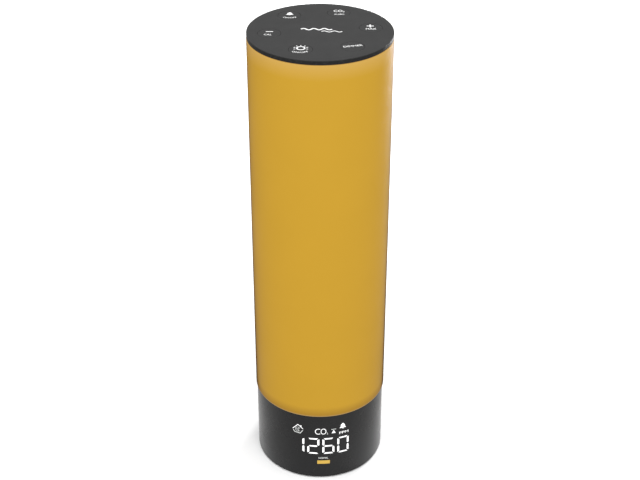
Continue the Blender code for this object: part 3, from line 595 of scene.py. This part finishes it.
def tube_look():
    """Opal plastic with a tinted skin, lit from inside; its glow has painted shade at its foot and
    painted light under the cap.
    """
    look = Looks("lit_opal_plastic", 0.5, 0.04)
    tall = TUBE[1].z - TUBE[0].z
    along = look.ranged(look.axis("Z"), TUBE[0].z, TUBE[1].z, 0.0, 1.0)
    along.node.interpolation_type = "LINEAR"
    # The glow's colour follows these stops up the tube, so the painted shade, highlight and light are in
    # the emission.
    stops = [((d if end == "low" else tall - d) / tall, colour) for end, d, colour in TUBE_GLOW_PAINTED_SHADING]
    dimmer = [(at, scaled(colour, 0.97)) for at, colour in stops]
    mottle = look.ranged(look.noise(0.030, 2), 0.2, 0.8, 0.0, 1.0)
    look.feed(look.mixed(mottle, look.ramp(along, stops), look.ramp(along, dimmer)), "Emission Color")
    look.shader.inputs["Emission Strength"].default_value = TUBE_GLOW
    look.feed(look.mixed(look.noise(0.012, 3), (0.138, 0.104, 0.0190), (0.144, 0.108, 0.0200)))
    look.shader.inputs["Coat Weight"].default_value = 1.0
    look.shader.inputs["Coat IOR"].default_value = 1.0
    look.shader.inputs["Coat Roughness"].default_value = 0.45
    look.shader.inputs["Coat Tint"].default_value = (0.885, 0.88, 0.90, 1)
    look.rough(0.03, 0.03)
    look.bumps(look.noise(0.0005, 2), 0.000003)
    return look.material


def lit_look(name, colour, strength):
    """An LED's light seen through the smoked housing, a touch uneven over each bar."""
    look = Looks(name, 0.4, 0.3)
    look.feed(look.mixed(look.noise(0.002, 2), scaled(colour, 0.94), colour), "Emission Color")
    look.shader.inputs["Emission Strength"].default_value = strength
    look.feed(look.mixed(look.noise(0.001, 2), scaled(colour, 0.3), scaled(colour, 0.4)))
    return look.material


def ink_look():
    look = Looks("pad_printed_ink", 0.55, 0.4)
    look.feed(look.mixed(look.noise(0.0003, 4), (0.80, 0.80, 0.80), (0.94, 0.94, 0.94)))
    look.bumps(look.noise(0.00012, 2), 0.000004)
    return look.material


def steel_look(name, colour, roughness, stretch=(1, 1, 1)):
    look = Looks(name, roughness, 0.5, 1.0)
    look.feed(look.mixed(look.noise(0.0012, 5, stretch), scaled(colour, 0.8), scaled(colour, 1.1)))
    look.rough(0.08, 0.003)
    look.bumps(look.noise(0.0002, 3, stretch), 0.000006)
    return look.material


TRACKS_PER_METRE = 420


def board_look():
    """Green solder mask over copper tracks, with the tracks as faint ridges."""
    look = Looks("solder_mask", 0.32, 0.5)
    cells = look.nodes.new("ShaderNodeTexVoronoi")
    cells.feature = "DISTANCE_TO_EDGE"
    cells.inputs["Scale"].default_value = TRACKS_PER_METRE
    cells.inputs["Randomness"].default_value = 0.35
    look.links.new(look.place, cells.inputs["Vector"])
    track = look.ranged(cells.outputs["Distance"], 0.06, 0.11, 1.0, 0.0)
    look.feed(look.mixed(track, (0.006, 0.060, 0.022), (0.020, 0.150, 0.060)))
    look.rough(0.05, 0.01)
    look.bumps(track, 0.00002)
    return look.material


def strip_look():
    """White solder mask with yellow phosphor over each LED."""
    look = Looks("led_strip", 0.4)
    pitch, half_led, blur = 0.0153, 0.0020, 0.0002
    shift = look.nodes.new("ShaderNodeMath")
    shift.operation = "SUBTRACT"
    shift.inputs[1].default_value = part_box("led_board_front")[0].z
    look.links.new(look.axis("Z"), shift.inputs[0])
    saw = look.nodes.new("ShaderNodeMath")
    saw.operation = "PINGPONG"
    saw.inputs[1].default_value = pitch / 2
    look.links.new(shift.outputs["Value"], saw.inputs[0])
    edge = pitch / 2 - half_led
    led = look.ranged(saw.outputs["Value"], edge - blur, edge + blur, 0.0, 1.0)
    look.feed(look.mixed(led, (0.78, 0.77, 0.72), (0.90, 0.62, 0.10)))
    look.rough(0.05, 0.004)
    look.bumps(look.noise(0.0004, 2), 0.00001)
    return look.material


def membrane_look():
    look = Looks("porous_membrane", 0.9, 0.2)
    look.feed(look.mixed(look.noise(0.0004, 4), (0.70, 0.70, 0.69), (0.88, 0.88, 0.86)))
    look.bumps(look.noise(0.00018, 4), 0.00004)
    return look.material


def floor_look():
    look = Looks("studio_floor", 0.7, 0.1)
    look.feed(look.mixed(look.noise(0.2, 2), (0.84, 0.84, 0.84), (0.86, 0.86, 0.86)))
    return look.material


LOOKS = {
    "housing": housing_look(),
    "cap": cap_look("cap_plastic", 0.48),
    "key": cap_look("button_plastic", 0.46),
    "tube": tube_look(),
    "white_light": lit_look("white_led_light", (1.0, 1.0, 1.0), 1.0),
    "dim_light": lit_look("dim_led_light", (0.80, 0.82, 0.80), 0.75),
    "faint_light": lit_look("faint_led_light", (0.80, 0.82, 0.80), 0.5),
    "amber_light": lit_look("amber_led_light", (0.80, 0.51, 0.085), 0.50),
    "ink": ink_look(),
    "black": moulded("black_plastic", (0.018, 0.018, 0.019), 0.55, depth=0.00002),
    "rubber": moulded("rubber", (0.016, 0.016, 0.016), 0.85, 0.0006, 0.00003, 0.08, 0.3),
    "white": moulded("white_plastic", (0.78, 0.78, 0.76), 0.45, vary=0.03),
    "steel": steel_look("zinc_plated_steel", (0.56, 0.56, 0.57), 0.32),
    "shell": steel_look("drawn_steel", (0.60, 0.60, 0.61), 0.25, (1, 0.1, 1)),
    "aluminium": steel_look("aluminium_can", (0.72, 0.72, 0.74), 0.30, (1, 1, 0.1)),
    "gold": steel_look("gold_plate", (0.80, 0.58, 0.24), 0.28),
    "board": board_look(),
    "strip": strip_look(),
    "chip": moulded("chip_epoxy", (0.012, 0.012, 0.013), 0.6, 0.0002, 0.00001),
    "membrane": membrane_look(),
    "film": moulded("printed_film", (0.010, 0.010, 0.011), 0.5, 0.0003, 0.000005),
    "cable": moulded("cable_jacket", (0.55, 0.55, 0.55), 0.5, 0.0005, 0.00001),
}

CARRIED = {  # look: CAD nodes, or the start of their names, that keep their CAD shapes
    "board": ("main_board", "co2_sensor_board", "display_board", "button_board"),
    "chip": ("microcontroller",),
    "black": ("co2_sensor_pins", "buzzer", "tact_switch"),
    "aluminium": ("capacitor",),
    "gold": ("co2_sensor_chamber",),
    "membrane": ("co2_sensor_filter",),
    "white": (
        "display_reflector",
        "light_column",
        "button_board_carrier",
        "switch_plunger",
        "cable_plug",
    ),
    "film": ("display_film",),
    "strip": ("led_board",),
    "steel": ("column_foot_screw", "column_top_screw", "carrier_screw"),
    "cable": ("column_cable",),
}


def dress_carried_nodes():
    looks = {start: look for look, starts in CARRIED.items() for start in starts}
    longest_first = sorted(looks, key=len, reverse=True)
    for name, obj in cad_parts.items():
        start = next((start for start in longest_first if name.startswith(start)), None)
        if start:
            obj.data.materials.clear()
            obj.data.materials.append(LOOKS[looks[start]])


# Base ---------------------------------------------------------------------------------------------


def boss_places(prefix, count):
    return [tuple(middle_of(f"{prefix}_{k}").xy) for k in range(1, count + 1)]


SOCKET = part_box("usb_socket")
INLET_HEIGHT = middle_of("usb_socket").z
INLET_WIDE, INLET_TALL, INLET_CORNER = 0.0130, 0.0074, 0.0010
INLET_FLOOR = SOCKET[1].y + 0.0004
INLET_WALL = 0.0010
COLLAR_WIDE, COLLAR_TALL, COLLAR_CORNER = INLET_WIDE + 0.0030, INLET_TALL + 0.0026, 0.0015
COLLAR_ROOT = 0.0008  # how far it runs into the housing's wall
PORT_CORNER = 0.0016
SOCKET_WALL, SOCKET_BACK = 0.0003, 0.0010
SOCKET_CORNER, BORE_CORNER, MOUTH_STEPS = 0.0014, 0.0012, 8
TONGUE_WIDE, TONGUE_TALL, TONGUE_CORNER = 0.0067, 0.0007, 0.0003
TONGUE_BACK, TONGUE_FRONT = 0.0012, 0.0008  # from the ends of the socket
CONTACT_COUNT, CONTACT_PITCH = 12, 0.0005
CONTACT_WIDE, CONTACT_THICK = 0.00026, 0.00004
CONTACT_BACK, CONTACT_FRONT = 0.0045, 0.0010  # how far their ends stand back from the socket's mouth
SLOT_COUNT, SLOT_PITCH = 11, math.radians(7.0)
SLOT_WIDE, SLOT_LOW, SLOT_HIGH = 0.0018, 0.0240, 0.0375
CASE_BOSSES = boss_places("base_screw", 4)
BOSS_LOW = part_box("main_board")[1].z + GAP
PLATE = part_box("base_plate")
PLATE_TOP = PLATE[0].z + 0.0022
HEAD_WALL = 0.0012  # round and over a case screw's head
HEAD_COLLAR_TOP = 0.0058
VENT_COUNT, VENT_WIDE, VENT_LONG, VENT_CIRCLE = 8, 0.0016, 0.0070, 0.0135
GROOVE_RADII, GROOVE_DEEP = (0.0188, 0.0192), 0.0003
TREAD_RADII, TREAD_DEEP = (0.0012, 0.0024, 0.0036), 0.0002
TREAD_WIDE, TREAD_SLOPE = 0.0004, 0.0001
HEAD_TALL, SHANK_RADIUS = 0.0021, 0.0012
RECESS_HALF, RECESS_DEEP = 0.0004, 0.0012


def air_slots():
    """Cutters for the upright slots with round ends in the rear of the housing."""
    height = (SLOT_LOW + SLOT_HIGH) / 2
    outline = slot_outline(SLOT_WIDE, SLOT_HIGH - SLOT_LOW)
    slots = []
    for k in range(SLOT_COUNT):
        slot = prism(outline, BASE_BORE - CLEAR, BASE_RADIUS + CLEAR)
        turn = Matrix.Rotation((k - (SLOT_COUNT - 1) / 2) * SLOT_PITCH, 4, "Z")
        slots.append(placed(facing_rear(slot, height), turn))
    return merged(slots)


def housing_body():
    """The wall, the deck and the spigot that the tube stands over."""
    return turned(
        [
            (BASE_RADIUS, FOOT_DROP, 0.0004),
            (BASE_RADIUS, BASE_TOP, 0.00025),
            (SPIGOT_RADIUS, BASE_TOP, 0),
            (SPIGOT_RADIUS, SPIGOT_TOP, 0.0003),
            (SPIGOT_BORE, SPIGOT_TOP, 0.0002),
            (SPIGOT_BORE, BASE_TOP, 0),
            (WIRE_HOLE, BASE_TOP, 0),
            (WIRE_HOLE, DECK_BOTTOM, 0),
            (BASE_BORE, DECK_BOTTOM, 0),
            (BASE_BORE, FOOT_DROP, 0.0002),
        ],
        closed=True,
    )


def inlet_collar():
    outline = rounded_rectangle(COLLAR_WIDE, COLLAR_TALL, COLLAR_CORNER)
    return facing_rear(prism(outline, INLET_FLOOR - INLET_WALL, BASE_BORE + COLLAR_ROOT), INLET_HEIGHT)


def inlet_recess():
    outline = rounded_rectangle(INLET_WIDE, INLET_TALL, INLET_CORNER)
    return facing_rear(prism(outline, INLET_FLOOR, BASE_RADIUS + CLEAR), INLET_HEIGHT)


def inlet_port():
    """The opening that the socket stands in, in the floor of the recess."""
    low, high = SOCKET
    outline = rounded_rectangle(high.x - low.x + 2 * GAP, high.z - low.z + 2 * GAP, PORT_CORNER)
    return facing_rear(prism(outline, INLET_FLOOR - 3 * PAST, INLET_FLOOR + PAST), INLET_HEIGHT)


def housing_pilots():
    """The holes of the case screws and of the column's foot screws."""
    low, high = BOSS_LOW - PAST, BOSS_LOW + PILOT_DEEP
    pilots = [rod(SCREW_HOLE, low, high, place) for place in CASE_BOSSES]
    for place in boss_places("column_foot_screw", 2):
        pilots.append(rod(SCREW_HOLE, DECK_BOTTOM - PAST, BASE_TOP + PAST, place))
    return merged(pilots)


def housing_shell():
    bosses = [rod(BOSS_RADIUS, BOSS_LOW, DECK_BOTTOM + PAST, place) for place in CASE_BOSSES]
    shell = joined(housing_body(), merged(bosses), inlet_collar())
    return cut(shell, inlet_recess(), inlet_port(), housing_pilots(), air_slots())


def plate_vents():
    vents = []
    for k in range(VENT_COUNT):
        vent = prism(slot_outline(VENT_WIDE, VENT_LONG), 0, PLATE_TOP + PAST)
        turn = Matrix.Rotation(math.tau * (k + 0.5) / VENT_COUNT, 4, "Z")
        vents.append(placed(vent, turn @ Matrix.Translation((0, VENT_CIRCLE, 0))))
    return vents


def plate_groove():
    """A shallow ring sunk round the vents."""
    floor = PLATE[0].z + GROOVE_DEEP
    inner, outer = GROOVE_RADII
    return turned([(inner, 0, 0), (inner, floor, 0), (outer, floor, 0), (outer, 0, 0)], closed=True)


def plate_solid():
    """The bottom cover, with a pillar and a sunk collar for each case screw and a seat for each foot."""
    low, high = PLATE
    corners = [(0, low.z, 0), (high.x, low.z, 0.0003), (high.x, PLATE_TOP, 0.0002), (0, PLATE_TOP, 0)]
    pillars = [rod(BOSS_RADIUS, PLATE_TOP - PAST, high.z, place) for place in CASE_BOSSES]
    collar_low, collar_radius = PLATE_TOP - PAST, COUNTERBORE + HEAD_WALL
    collars = [rod(collar_radius, collar_low, HEAD_COLLAR_TOP, place) for place in CASE_BOSSES]
    foot_low, foot_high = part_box("rubber_foot_1")
    seat_radius, seat_top = (foot_high.x - foot_low.x) / 2 + GAP, foot_high.z + GAP
    seats = [rod(seat_radius, 0, seat_top, place) for place in boss_places("rubber_foot", 4)]
    counterbores = [rod(COUNTERBORE, 0, HEAD_COLLAR_TOP - HEAD_WALL, place) for place in CASE_BOSSES]
    holes = [rod(SCREW_HOLE, PAST, high.z + PAST, place) for place in CASE_BOSSES]
    solid = joined(turned(corners), merged(pillars), merged(collars))
    return cut(solid, merged(seats + counterbores + plate_vents()), merged(holes), plate_groove())


def foot_solid(k):
    """A rubber foot with fine rings cut in its tread."""
    low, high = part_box(f"rubber_foot_{k}")
    radius = (high.x - low.x) / 2
    corners = [(0, 0, 0)]
    for inner in TREAD_RADII:
        outer = inner + TREAD_WIDE
        corners += [(inner, 0, 0), (inner + TREAD_SLOPE, TREAD_DEEP, 0)]
        corners += [(outer - TREAD_SLOPE, TREAD_DEEP, 0), (outer, 0, 0)]
    corners += [(radius, 0, 0.0004), (radius, high.z, 0.0001), (0, high.z, 0)]
    centre = middle_of(f"rubber_foot_{k}")
    return placed(turned(corners, SMALL_SIDES), Matrix.Translation((centre.x, centre.y, 0)))


def cross_outline(arm, half):
    """A cross with arms of this length and half width."""
    quarter = [(arm, -half), (arm, half), (half, half)]
    outline = []
    for k in range(4):
        spin = Matrix.Rotation(k * math.pi / 2, 2)
        outline += [tuple(spin @ Vector(point)) for point in quarter]
    return outline


def screw_solid(node):
    """A pan-head screw pointing up, in the place of its CAD node, with a cross recess."""
    low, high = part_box(node)
    centre = middle_of(node)
    head = (high.x - low.x) / 2
    seat = low.z + HEAD_TALL
    body = turned(
        [
            (0, low.z, 0),
            (0.7 * head, low.z, 0.0006),
            (head, low.z + 0.0008, 0.0003),
            (head, seat, 0.0001),
            (SHANK_RADIUS, seat, 0),
            (SHANK_RADIUS, high.z - SHANK_RADIUS, 0.0001),
            (0, high.z, 0),
        ],
        SMALL_SIDES,
    )
    # The heads don't all stop at the same angle.
    stop = Matrix.Rotation(40 * centre.x, 4, "Z")
    recess = placed(prism(cross_outline(0.62 * head, RECESS_HALF), 0, low.z + RECESS_DEEP), stop)
    return placed(cut(body, recess), Matrix.Translation((centre.x, centre.y, 0)))


def socket_solid():
    low, high = SOCKET
    wide, tall = high.x - low.x, high.z - low.z
    bore_wide, bore_tall = wide - 2 * SOCKET_WALL, tall - 2 * SOCKET_WALL
    outline = rounded_rectangle(wide, tall, SOCKET_CORNER, MOUTH_STEPS)
    bore_outline = rounded_rectangle(bore_wide, bore_tall, BORE_CORNER, MOUTH_STEPS)
    bore = prism(bore_outline, low.y + SOCKET_BACK, high.y + PAST)
    return facing_rear(cut(prism(outline, low.y, high.y), bore), INLET_HEIGHT)


def tongue_solid():
    low, high = SOCKET
    outline = rounded_rectangle(TONGUE_WIDE, TONGUE_TALL, TONGUE_CORNER)
    return facing_rear(prism(outline, low.y + TONGUE_BACK, high.y - TONGUE_FRONT), INLET_HEIGHT)


def contact_solids():
    """Twelve gold contacts on each face of the socket's tongue."""
    end, half = SOCKET[1].y, CONTACT_WIDE / 2
    contacts = []
    for side in (-1, 1):
        low = (side * TONGUE_TALL - CONTACT_THICK) / 2
        for k in range(CONTACT_COUNT):
            x = (k - (CONTACT_COUNT - 1) / 2) * CONTACT_PITCH
            outline = box_outline(x - half, low, x + half, low + CONTACT_THICK)
            contacts.append(prism(outline, end - CONTACT_BACK, end - CONTACT_FRONT))
    return facing_rear(merged(contacts), INLET_HEIGHT)


def build_base():
    shell, cover = housing_shell(), plate_solid()
    show("housing_shell", shell, LOOKS["housing"], stands_for=["base_housing"])
    show("bottom_cover", cover, LOOKS["black"], stands_for=["base_plate"])
    for k in range(1, 5):
        foot, screw = f"rubber_foot_{k}", f"base_screw_{k}"
        show(f"foot_pad_{k}", foot_solid(k), LOOKS["rubber"], stands_for=[foot])
        show(f"case_screw_{k}", screw_solid(screw), LOOKS["steel"], stands_for=[screw])
    show("socket_shell", socket_solid(), LOOKS["shell"], stands_for=["usb_socket"])
    show("socket_tongue", tongue_solid(), LOOKS["black"])
    show("socket_contacts", contact_solids(), LOOKS["gold"])


# Display ------------------------------------------------------------------------------------------
# Across is measured in millimetres round the housing from the middle of its front, and up from the
# floor.

DIGITS = "1260"
DIGIT_WIDE, DIGIT_TALL = 6.7, 11.1
DIGIT_PITCH = 8.4
DIGIT_LEFT, DIGIT_LOW = -15.35, 17.5
DIGIT_DROPS = (0.0, 0.0, 0.0, 0.4)  # the last digit is drawn a little lower
BAR_WIDE, BAR_TALL = 1.1, 0.95  # thickness of the upright and the level bars
BAR_GAP = 0.36
HOUSE_PLACE = (-12.3, 33.85)
SEGMENTS = {"0": "abcdef", "1": "bc", "2": "abged", "6": "acdefg"}


def mirrored(outline, wide):
    return [(wide - x, y) for x, y in outline]


def upended(outline, tall):
    return [(x, tall - y) for x, y in outline]


def segment_outlines():
    """The seven bars of a digit, a to g, with pointed ends."""
    wide, tall, side, bar, gap = DIGIT_WIDE, DIGIT_TALL, BAR_WIDE, BAR_TALL, BAR_GAP
    half = tall / 2
    top = [(2 * gap, tall), (side + gap, tall - bar)]
    top += mirrored(top[::-1], wide)
    right = [
        (wide, tall - 2 * gap),
        (wide - side, tall - bar - gap),
        (wide - side, half + bar / 2 + gap),
        (wide - side / 2, half + gap),
        (wide, half + bar / 2 + gap),
    ]
    left_end = [(side + gap, half + bar / 2), (side / 2 + gap, half), (side + gap, half - bar / 2)]
    return {
        "a": top,
        "b": right,
        "c": upended(right, tall),
        "d": upended(top, tall),
        "e": mirrored(upended(right, tall), wide),
        "f": mirrored(right, wide),
        "g": left_end + mirrored(left_end[::-1], wide),
    }


def digits_shape():
    bars = segment_outlines()
    outlines = []
    for k, digit in enumerate(DIGITS):
        x = DIGIT_LEFT + k * DIGIT_PITCH
        low = DIGIT_LOW - DIGIT_DROPS[k]
        outlines += [[(x + u, low + v) for u, v in bars[name]] for name in SEGMENTS[digit]]
    return flat_shape(*outlines)


def house_shape():
    """A roof with a chimney. The middle of the house is the origin."""
    roof = stroke([(-3.05, -0.55), (0.05, 3.0), (3.0, 0.35)], 0.38)
    chimney = flat_shape([(1.5, 2.1), (2.1, 1.55), (2.1, 2.75), (1.5, 2.75)])
    return merged([roof, chimney])


def wall_shape():
    """The walls of the house, which draw in downwards."""
    return stroke([(-2.8, -1.1), (-2.0, -2.5), (1.3, -2.85), (2.8, -0.6)], 0.36)


def fan_shape():
    """Three swirling blades in an open ring, inside the house."""
    parts = [stroke(arc(1.45, 40, 320, 20), 0.22)]
    for k in range(3):
        blade = stroke(arc(0.62, 200, 20, 8, (0.62, 0)), 0.26)
        parts.append(shifted(blade, 0, 0, 120 * k + 20))
    return merged(parts)


def bell_outline():
    """A bell without its clapper: a knob, a round crown, a waist and a flared lip, 3.7 wide."""
    right = [(0.0, 3.75)] + arc(0.42, 90, 0, 4, (0, 3.33))[1:] + [(0.48, 3.1)]
    right += arc(0.8, 60, 10, 5, (0.35, 2.4)) + [(1.25, 1.6), (1.45, 1.1), (1.85, 0.75), (1.85, 0.5)]
    return right + [(-x, y) for x, y in reversed(right) if x > 0]


def bell_shape():
    clapper = [(-0.55, 0.25), (-0.35, 0.0), (0.35, 0.0), (0.55, 0.25)]
    return flat_shape(bell_outline(), clapper)


def lit(name, flat, look):
    show(name, on_housing(flat), LOOKS[look])


def build_display():
    gas = [
        shifted(lettering("C", 4.0, 2.9, -0.1), -1.2, 33.4),
        shifted(lettering("O", 4.0, 3.1, -0.1), 2.05, 33.4),
    ]
    arrow = [(6.55, 31.75), (8.85, 31.75), (7.85, 33.7), (7.55, 33.7)]
    over_arrow = box_outline(6.35, 34.3, 9.05, 34.6)
    bar = box_outline(-1.4, 10.3, 5.65, 12.7)
    lit("display_digits", digits_shape(), "white_light")
    lit("display_gas_name", merged(gas), "white_light")
    lit("display_gas_number", shifted(lettering("2", 1.1, 0.8), 4.2, 31.9), "dim_light")
    lit("display_house", shifted(house_shape(), *HOUSE_PLACE), "white_light")
    lit("display_house_walls", shifted(wall_shape(), *HOUSE_PLACE), "dim_light")
    lit("display_fan", shifted(fan_shape(), HOUSE_PLACE[0], HOUSE_PLACE[1] - 0.35), "faint_light")
    lit("display_bell", shifted(bell_shape(), 12.95, 33.9), "white_light")
    lit("display_highest_arrow", flat_shape(arrow), "white_light")
    lit("display_highest_bar", flat_shape(over_arrow), "dim_light")
    lit("display_unit", shifted(lettering("PPM", 1.6, 5.4), 13.6, 31.1), "white_light")
    lit("display_level_word", shifted(lettering("NORMAL", 1.25, 5.4), 2.0, 14.5), "dim_light")
    lit("display_level_bar", flat_shape(bar), "amber_light")


# Tube and top -------------------------------------------------------------------------------------


def tube_solid():
    low, high = TUBE[0].z, TUBE[1].z
    return turned(
        [
            (TUBE_RADIUS, low, 0.00015),
            (TUBE_RADIUS, high, 0.0003),
            (TUBE_BORE, high, 0.0004),
            (TUBE_BORE, low, 0.0004),
        ],
        closed=True,
    )


def cap_solid():
    lip = TUBE[1].z + GAP
    body = turned(
        [
            (0, CAP_FACE, 0),
            (FLAT_RADIUS - 0.0008, CAP_FACE, 0),
            (FLAT_RADIUS, CAP_FACE, 0.008),
            (RIM_RADIUS - 0.0005, RIM_TOP + 0.00004, 0),
            (RIM_RADIUS, RIM_TOP, 0.00012),
            (RIM_RADIUS, lip, 0.00010),
            (SPIGOT_RADIUS, lip, 0),
            (SPIGOT_RADIUS, SKIRT_BOTTOM, 0.0003),
            (SPIGOT_BORE, SKIRT_BOTTOM, 0.0003),
            (SPIGOT_BORE, CAP_UNDERSIDE, 0),
            (0, CAP_UNDERSIDE, 0),
        ]
    )
    screws = boss_places("carrier_screw", 3)
    bosses = [rod(CAP_BOSS_RADIUS, SKIRT_BOTTOM, CAP_UNDERSIDE + PAST, place) for place in screws]
    stop = CAP_UNDERSIDE - CAP_PILOT_STOP
    pilots = [rod(CAP_PILOT, SKIRT_BOTTOM - PAST, stop, place) for place in screws]
    low, high = CAP_UNDERSIDE - PAST, CAP_TOP + PAST
    places = [middle_of(f"button_{name}").xy for name in BUTTONS]
    holes = [rod(BUTTON_HOLE, low, high, place, BUTTON_SIDES) for place in places]
    return cut(joined(body, merged(bosses)), merged(pilots + holes))


def button_solid(name):
    """A key with its flange under the cap and its stem."""
    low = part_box(f"button_{name}")[0].z
    x, y = middle_of(f"button_{name}").xy
    flange_top = CAP_UNDERSIDE - GAP
    flange_bottom = flange_top - FLANGE_THICK
    corners = [
        (0, low, 0),
        (STEM_RADIUS, low, 0.0002),
        (STEM_RADIUS, flange_bottom, 0),
        (FLANGE_RADIUS, flange_bottom, 0.0002),
        (FLANGE_RADIUS, flange_top, 0.0002),
        (BUTTON_RADIUS, flange_top, 0),
        (BUTTON_RADIUS, CAP_FACE, 0.0001),
        (BUTTON_RADIUS - 0.0004, CAP_FACE, 0),
        (0, CAP_FACE, 0),
    ]
    return placed(turned(corners, BUTTON_SIDES), Matrix.Translation((x, y, 0)))


def lamp_shape():
    """A ring with short rays over its upper side."""
    rays = [shifted(stroke([(0, 2.7), (0, 3.6)], 0.45), 0, 0, turn) for turn in range(-108, 109, 36)]
    return merged([ring_shape(1.85, 0.68)] + rays)


def plus_shape():
    arm, half = 1.75, 0.36
    level = box_outline(-arm, -half, arm, half)
    return flat_shape(level, box_outline(-half, half, half, arm), box_outline(-half, -arm, half, -half))


def switch_words(tall, wide, radius):
    return smiling(lettering("ON/OFF", tall, wide, 0.04), radius)


def button_marks():
    """What is printed on each button, in millimetres from its middle."""
    minus = flat_shape(box_outline(-1.75, -0.33, 1.75, 0.33))
    gas_name = shifted(lettering("CO", 2.7, 4.4, 0.06), -0.4, 0)
    gas_number = shifted(lettering("2", 1.4, 0.9, 0.06), 2.4, -1.0)
    gas = merged([gas_name, gas_number])
    alarm = lettering("ALARM", 1.4, 4.9, 0.04)
    return {
        "minus": [shifted(minus, 0.1, 2.1), shifted(lettering("CAL", 1.6, 3.8, 0.04), -0.6, -1.6)],
        "light": [shifted(lamp_shape(), 0.1, 1.4), shifted(switch_words(1.4, 7.8, 6.0), -0.2, -3.5)],
        "dimmer": [shifted(lettering("DIMMER", 1.7, 9.3, 0.05), 0.1, 0.6, 13)],
        "plus": [shifted(plus_shape(), -0.2, 2.2), shifted(lettering("MAX", 1.8, 5.0, 0.06), 0.1, -1.4)],
        "co2_alarm": [shifted(gas, 0.1, 2.4), shifted(alarm, 0.2, -2.0)],
        "bell": [shifted(bell_shape(), 0.2, 0.3), shifted(switch_words(1.3, 6.8, 6.0), 0.3, -3.2)],
    }


WAVE_STEP, WAVE_PITCH = 0.4, 5  # in millimetres, the latter from crest to crest


def wave(length, swing, width):
    """A wavy line."""
    steps = round(length / WAVE_STEP)
    points = []
    for k in range(steps + 1):
        along = length * k / steps
        points.append((along - length / 2, swing * math.sin(math.tau * along / WAVE_PITCH)))
    return stroke(points, width)


def air_mark():
    """Two wavy lines of different length, a plain sign for moving air, in the middle of the cap."""
    return merged([shifted(wave(15, 0.9, 0.9), -2.4, 1.3), shifted(wave(10, 0.7, 0.6), 5.0, -1.6)])


def build_top():
    show("lit_tube", tube_solid(), LOOKS["tube"], stands_for=["diffuser_tube"])
    show("cap_shell", cap_solid(), LOOKS["cap"], stands_for=["top_cap"])
    marks = button_marks()
    for name in BUTTONS:
        node, body = f"button_{name}", f"{name}_button"
        show(f"key_{name}", button_solid(name), LOOKS["key"], body, [node])
        printed = on_cap(merged(marks[name]), *middle_of(node).xy)
        show(f"key_mark_{name}", printed, LOOKS["ink"], body)
    show("cap_mark", on_cap(air_mark(), 0.0006, 0.0004), LOOKS["ink"])


# Studio -------------------------------------------------------------------------------------------


def aim(obj, target):
    obj.rotation_euler = (Vector(target) - obj.location).to_track_quat("-Z", "Y").to_euler()


def softbox(name, place, target, wide, tall, power):
    light = bpy.data.lights.new(name, "AREA")
    light.shape = "RECTANGLE"
    light.size, light.size_y = wide, tall
    light.energy = power
    obj = bpy.data.objects.new(name, light)
    obj.location = place
    bpy.context.scene.collection.objects.link(obj)
    aim(obj, target)


def build_floor():
    floor = bpy.data.meshes.new("floor")
    corners = box_outline(-FLOOR_HALF, -FLOOR_HALF, FLOOR_HALF, FLOOR_HALF)
    floor.from_pydata([(x, y, 0) for x, y in corners], [], [(0, 1, 2, 3)])
    floor.materials.append(floor_look())
    ground = bpy.data.objects.new("floor", floor)
    bpy.context.scene.collection.objects.link(ground)


def build_light():
    world = bpy.data.worlds.new("studio")
    world.use_nodes = True
    background = world.node_tree.nodes["Background"]
    background.inputs["Color"].default_value = (1, 1, 1, 1)
    background.inputs["Strength"].default_value = SKY
    bpy.context.scene.world = world
    softbox("overhead_light", *OVERHEAD_LIGHT)
    softbox("edge_light", *EDGE_LIGHT)
    bpy.context.scene.view_settings.view_transform = "Standard"


def build_camera():
    data = bpy.data.cameras.new("camera")
    data.lens = CAMERA_LENS
    data.clip_start, data.clip_end = CAMERA_CLIP
    camera = bpy.data.objects.new("camera", data)
    camera.location = (0, -CAMERA_BACK, CAMERA_HEIGHT)
    camera.rotation_mode = "QUATERNION"
    tilt = Matrix.Rotation(math.pi / 2 - CAMERA_TILT, 3, "X")
    camera.rotation_quaternion = (tilt @ Matrix.Rotation(CAMERA_ROLL, 3, "Z")).to_quaternion()
    bpy.context.scene.collection.objects.link(camera)
    bpy.context.scene.camera = camera


build_camera()
build_floor()
build_light()
dress_carried_nodes()
build_base()
build_display()
build_top()
